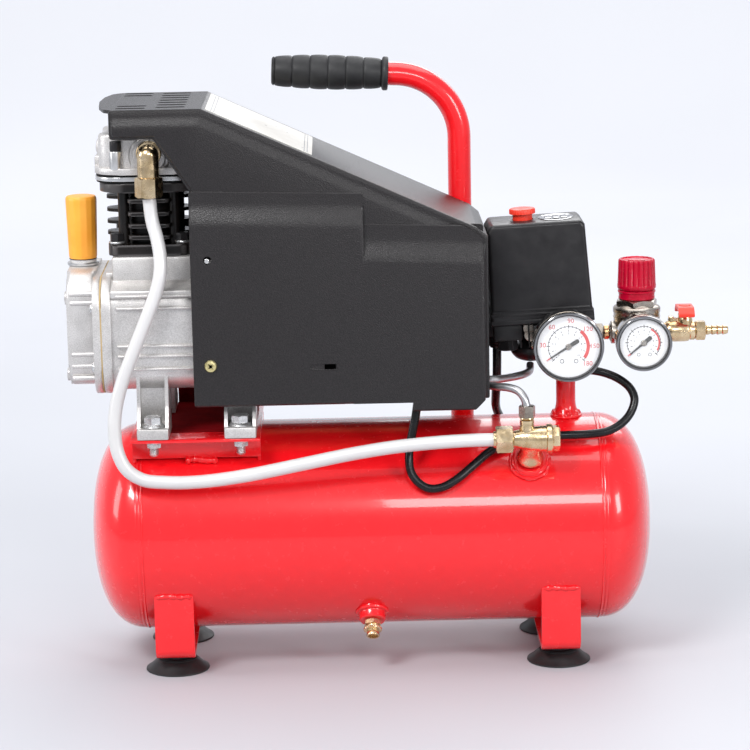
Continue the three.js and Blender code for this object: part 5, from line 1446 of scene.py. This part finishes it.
def regulator_knob():
    rows = [(11, 279.7, 0), (13.6, 279.7, 0), (14.5, 280.6, 0), (14.8, 281.8, 0), (14.7, 283.2, 0), (14.5, 284.0, 1.0), (13.9, 301.4, 1.1),
            (13.7, 302.4, 1.0), (13.2, 303, 0.6), (12, 303, 0.2), (11.4, 302.2, 0), (6, 301.6, 0)]
    cap = fluted(REG_X, rows, 20, 240)
    crown = lathe([(0, 301), (6.4, 301), (6.6, 302.4), (5.6, 302.9), (0, 302.7)], Z, (REG_X, 0, 0), 40)
    stem = rod((REG_X, 0, 257), (REG_X, 0, 280.6), 5.8, 32)
    piece("regulator_cap", "regulator_knob", join(cap, crown, stem), RED_PLASTIC, "regulator_knob", sharp=36)


def safety_valve():
    x = 154
    body = [
        rod((x, 11.3, PORT_Z), (x, 18, PORT_Z), 5, 32), hexagon((x, 14.6, PORT_Z), (x, 21, PORT_Z), 13, 0.5),
        lathe([(2.3, 0), (5.2, 0), (5.8, 1), (5.8, 3), (5.1, 3.6), (5.1, 9.6), (5.7, 10.4), (5.7, 12.6), (4.6, 14), (2.3, 14), (2.3, 0)],
              Y, (x, 20, PORT_Z), 48),
    ]
    piece("relief_body", "frame", join(*body), BRASS, "safety_valve", sharp=30)
    loop = [(x, 45.5 + 7 * math.cos(a), PORT_Z + 7 * math.sin(a)) for a in (math.pi + 2 * math.pi * k / 40 for k in range(41))]
    pull = join(rod((x, 28, PORT_Z), (x, 39.3, PORT_Z), 1.5, 20, 0.3), tube(loop, 1.0, 14))
    piece("relief_pull", "safety_valve_ring", pull, ZINC, "safety_valve_ring", sharp=60)


def ball_valve():
    stem_x = 241.5
    body = lathe([(0, 222.9), (6.4, 222.9), (6.4, 226.4), (7.2, 227.2), (8.1, 229), (8.4, 233), (8.4, 241.8), (8.0, 244), (7.0, 245),
                  (7.3, 245.4), (7.3, 248.4), (6.6, 249.3), (0, 249.3)], X, (0, 0, PORT_Z), 72)
    boss = lathe([(0, 250), (6.4, 250), (5.9, 255), (5.7, 256.4), (5.2, 257.2), (5.2, 259.6), (0, 259.6)], Z, (stem_x, 0, 0), 48)
    lug = box(stem_x - 12.6, stem_x - 8.6, -3, 3, 252, 257.9, 0.8)
    plate = prism(fillet([(stem_x - 12.6, 252, 1), (stem_x - 4, 250, 1), (stem_x - 4, 256, 2), (stem_x - 12.6, 257, 1)]), "Y", -2.6, 2.6, 0.6)
    emblem = [rod((stem_x - 4 + 3.6 * i, -7.6, PORT_Z), (stem_x - 4 + 3.6 * i, -8.55, PORT_Z), 1.3, 20, 0.3) for i in range(3)]
    piece("valve_body_brass", "frame", join(body, boss, lug, plate, *emblem), BRASS, "ball_valve_body", sharp=34)

    wings = fillet([(-14.2, 258.4, 0.8), (-14.2, 261.6, 1.2), (-9, 266, 4), (9, 266, 4), (14.2, 261.6, 1.2), (14.2, 258.4, 0.8),
                    (8.6, 263, 3), (-8.6, 263, 3)], steps=6)
    blade = prism(wings, "X", stem_x - 6, stem_x + 6, 0.9, 3)
    hub = rod((stem_x, 0, 259.9), (stem_x, 0, 266.6), 4.6, 40, 0.7)
    piece("valve_lever", "ball_valve_lever", join(blade, hub), KNOB_RED, "ball_valve_lever", sharp=34)

    profile = [(0, 256.4), (3.9, 256.4), (3.9, 257.5)]
    for k in range(4):
        x = 257.5 + k * 4.1
        profile += [(3.0, x), (3.85, x + 0.8), (3.2, x + 3.6)]
    profile += [(3.0, 274.0), (2.6, 274.5), (1.6, 274.5), (1.6, 270), (0, 270)]
    stem = lathe(profile, X, (0, 0, PORT_Z), 48)
    nut = hexagon((249.7, 0, PORT_Z), (256.9, 0, PORT_Z), 14, 0.6, 0.5)
    piece("barb_turned", "frame", join(stem, nut), BRASS, "hose_barb", sharp=30)


# ---- check valve, unloader and drain ---------------------------------------------------------------------------------------
def check_valve():
    y, z = -76.5, 181.6
    seat = on_tank(118, 45, 6.7)
    hub = Vector((118, y, z))
    barrel = lathe([(0, 104.6), (6.2, 104.6), (6.4, 106), (8.0, 112), (9.2, 120), (9.6, 126), (9.7, 128.8), (10.9, 129.4), (11.1, 130.4),
                    (11.1, 132.6), (10.5, 133.5), (0, 133.5)], X, (0, y, z), 72)
    rings = [lathe([(9, x), (9.9, x + 0.3), (9.9, x + 1.1), (9, x + 1.4), (9, x)], X, (0, y, z), 72) for x in (124.4, 126.8)]
    eight = [Vector((9.9 * math.cos(math.pi * (k + 0.5) / 4), 9.9 * math.sin(math.pi * (k + 0.5) / 4))) for k in range(8)]
    cap = moved(prism(eight, "X", 133.2, 139, 1.1, 2), Matrix.Translation((0, y, z)))
    stub = lathe([(0, 182), (6.2, 182), (5.8, 190), (5.2, 192), (5.4, 196), (0, 196)], Z, (114.8, y, 0), 48)
    piece("check_barrel", "frame", join(barrel, cap, stub, *rings), BRASS, "check_valve", sharp=32)
    axis = hub - seat
    neck = lathe([(0, 0), (9.9, 0), (10.0, 0.8), (9.4, 3), (8.4, 6), (7.8, 10), (7.6, axis.length - 4), (0, axis.length - 4)], axis, seat, 56)
    piece("check_neck", "frame", neck, BRASS, sharp=40)


UNLOADER_ROUTE = [
    (114.8, -76.5, 198), (114.6, -76.3, 206), (112.8, -74.5, 212.5), (108.6, -71, 217), (101.5, -66, 218.7), (94, -60.5, 218.4),
    (87, -55, 218.6), (84.6, -50, 219.2), (87, -45, 220.4), (94.9, -40, 219.8), (103.6, -33, 219.4), (111.6, -27, 219.4),
    (118.4, -16, 219), (122, -7, 219.6), (122.8, -2, 223.4),
]


def unloader():
    line = tube(smooth_path(UNLOADER_ROUTE, 6), 3, 24)
    piece("unloader_line", "frame", line, STEEL, "unloader_tube", sharp=60)
    nut = hexagon((114.8, -76.5, 198.4), (114.8, -76.5, 207), 11, 0.5, 0.2)
    piece("unloader_nut", "frame", nut, DARK_NICKEL, sharp=30)
    ferrule = lathe([(0, 0), (4.4, 0), (5.6, 1.2), (5.4, 2.0), (0, 2.0)], Z, (114.8, -76.5, 196.3), 40)
    piece("unloader_ferrule", "frame", ferrule, BRASS, sharp=30)


def drain_cock():
    seat = on_tank(-2.5, 138, 7.8)
    axis = (on_tank(0, 138, 1) - on_tank(0, 138, 0)).normalized()
    body = join(hexagon(seat, seat + axis * 4, 12, 0.5, 0.4), rod(seat + axis * 3.5, seat + axis * 5.5, 5, 32, 0.4))
    piece("drain_seat", "frame", body, BRASS, "drain_cock_body", sharp=30)
    disc_at = seat + axis * 5.8
    ribs, count = 20, 120
    frame_ = Z.rotation_difference(axis).to_matrix().to_4x4()
    rows = [(6.2, 0, 0), (7.0, 0.3, 0.5), (7.0, 1.9, 0.5), (6.2, 2.2, 0), (4.6, 2.3, 0), (4.5, 2.5, 0)]
    disc = moved(fluted(0, rows, ribs, count), Matrix.Translation(disc_at) @ frame_)
    cup = lathe([(0, 1.8), (4.4, 1.8), (4.4, 3), (4.8, 3.6), (5.1, 6.0), (4.9, 6.7), (3.7, 6.7), (3.6, 3.8), (0, 3.8)], axis, disc_at, 48)
    piece("drain_screw", "drain_cock_screw", join(disc, cup), BRASS, "drain_cock_screw", sharp=32)


post()
manifold()
switch_cover()
switch_base()
switch_knob()
gland("mains_relief", 97, 8, "mains_gland")
gland("motor_relief", 132, -19, "motor_gland")
gauge(
    "tank_gauge", (147.8, -33, PORT_Z), 26.4, 26, 21.6, 212,
    {"r0": 13.4, "r1": 15.9, "from": 52, "to": -36, "ink": RED_INK},
    (("30", 176), ("60", 130), ("90", 85), ("120", 42), ("150", 0), ("180", -43)),
    {"start": 222, "sweep": 265, "most": 180, "step": 30, "r": 15.2, "text_r": 19.4},
)
gauge(
    "outlet_gauge", (REG_X + 0.4, -27, PORT_Z), 21.1, 24, 8.6, 219,
    {"r0": 10.9, "r1": 12.2, "from": 63, "to": -30, "ink": RED_INK},
    (),
    {"start": 222, "sweep": 265, "most": 180, "step": 30, "r": 12.6, "text_r": 15},
)
regulator()
regulator_knob()
safety_valve()
ball_valve()
check_valve()
unloader()
drain_cock()

# ---- inside, kept from the frame ---------------------------------------------------------------------------------------------
for node, material in {
    "piston": MACHINED, "connecting_rod": CAST, "crankshaft": STEEL, "rotor": STEEL, "stator": COPPER_WIRE,
    "cooling_fan": SMOOTH_BLACK,
}.items():
    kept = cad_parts[node]
    kept.data.materials.clear()
    kept.data.materials.append(material)
    rounding = kept.modifiers.new("edges", "BEVEL")
    rounding.width = 0.4 * MM
    rounding.segments = 2
    rounding.limit_method = "ANGLE"
    rounding.angle_limit = math.radians(40)


# ---- stage ----------------------------------------------------------------------------------------------------------------------
def studio_paper():
    """Pale paper with a painted glow that grows towards the back where it rises into the backdrop, standing in for
    light from behind.
    """
    n = Nodes("studio_paper")
    n.link(n.blend(n.span(n.noise(1.5), 0, 1), (0.42, 0.43, 0.46), (0.46, 0.47, 0.50)), n.shader.inputs["Base Color"])
    n.shader.inputs["Roughness"].default_value = 0.6
    apart = n.add("ShaderNodeSeparateXYZ")
    n.link(n.place, apart.inputs["Vector"])
    # Painted light: an emission that grows with distance back along the paper.
    n.shader.inputs["Emission Color"].default_value = (0.95, 0.96, 1.0, 1)
    n.link(n.span(apart.outputs["Y"], 0.0, 0.52, 0.2, 2.4), n.shader.inputs["Emission Strength"])
    n.bump((n.noise(60, 3.0), 0.02, 0.1))
    return n.material


def stage_floor():
    """A pale floor that curves up into the backdrop."""
    line = [(-3.0, 0.0), (2.2, 0.0)]
    line += [(2.2 + 1.2 * math.sin(a), 1.2 - 1.2 * math.cos(a)) for a in (math.pi / 2 * k / 16 for k in range(1, 17))]
    line.append((3.4, 5.0))
    bm = bmesh.new()
    rows = [[bm.verts.new((x, y, z)) for y, z in line] for x in (-5.0, 5.0)]
    for i in range(len(line) - 1):
        bm.faces.new((rows[0][i], rows[1][i], rows[1][i + 1], rows[0][i + 1]))
    mesh = bpy.data.meshes.new("floor")
    bm.to_mesh(mesh)
    bm.free()
    mesh.shade_smooth()
    floor = bpy.data.objects.new("studio_floor", mesh)
    bpy.context.scene.collection.objects.link(floor)
    mesh.materials.append(studio_paper())


def area_light(name, place, target, size, power, colour=(1, 1, 1)):
    data = bpy.data.lights.new(name, "AREA")
    data.shape = "RECTANGLE"
    data.size, data.size_y = size
    data.energy = power
    data.color = colour
    light = bpy.data.objects.new(name, data)
    bpy.context.scene.collection.objects.link(light)
    place, target = Vector(place), Vector(target)
    light.matrix_world = Matrix.Translation(place) @ (place - target).to_track_quat("Z", "Y").to_matrix().to_4x4()


def studio():
    world = bpy.data.worlds.new("studio")
    world.use_nodes = True
    world.node_tree.nodes["Background"].inputs["Color"].default_value = (0.90, 0.93, 1.0, 1)
    world.node_tree.nodes["Background"].inputs["Strength"].default_value = 0.62
    bpy.context.scene.world = world
    bpy.context.scene.view_settings.view_transform = "Standard"
    area_light("key", (-0.9, -1.3, 1.7), (0, 0, 0.2), (0.7, 0.5), 30)
    area_light("fill", (1.5, -1.5, 0.9), (0, 0, 0.2), (0.5, 0.7), 15)
    area_light("top", (0.1, 0.3, 2.0), (0, 0, 0.2), (1.8, 1.4), 21)
    area_light("window", (0.22, -1.4, 0.95), (0.13, 0, 0.16), (0.42, 0.26), 4.4)
    area_light("side", (-1.7, -0.3, 0.8), (0, 0, 0.2), (0.5, 0.9), 8)
    area_light("back", (0.6, 1.6, 1.3), (0, 0, 0.2), (1.4, 0.8), 12)


stage_floor()
studio()
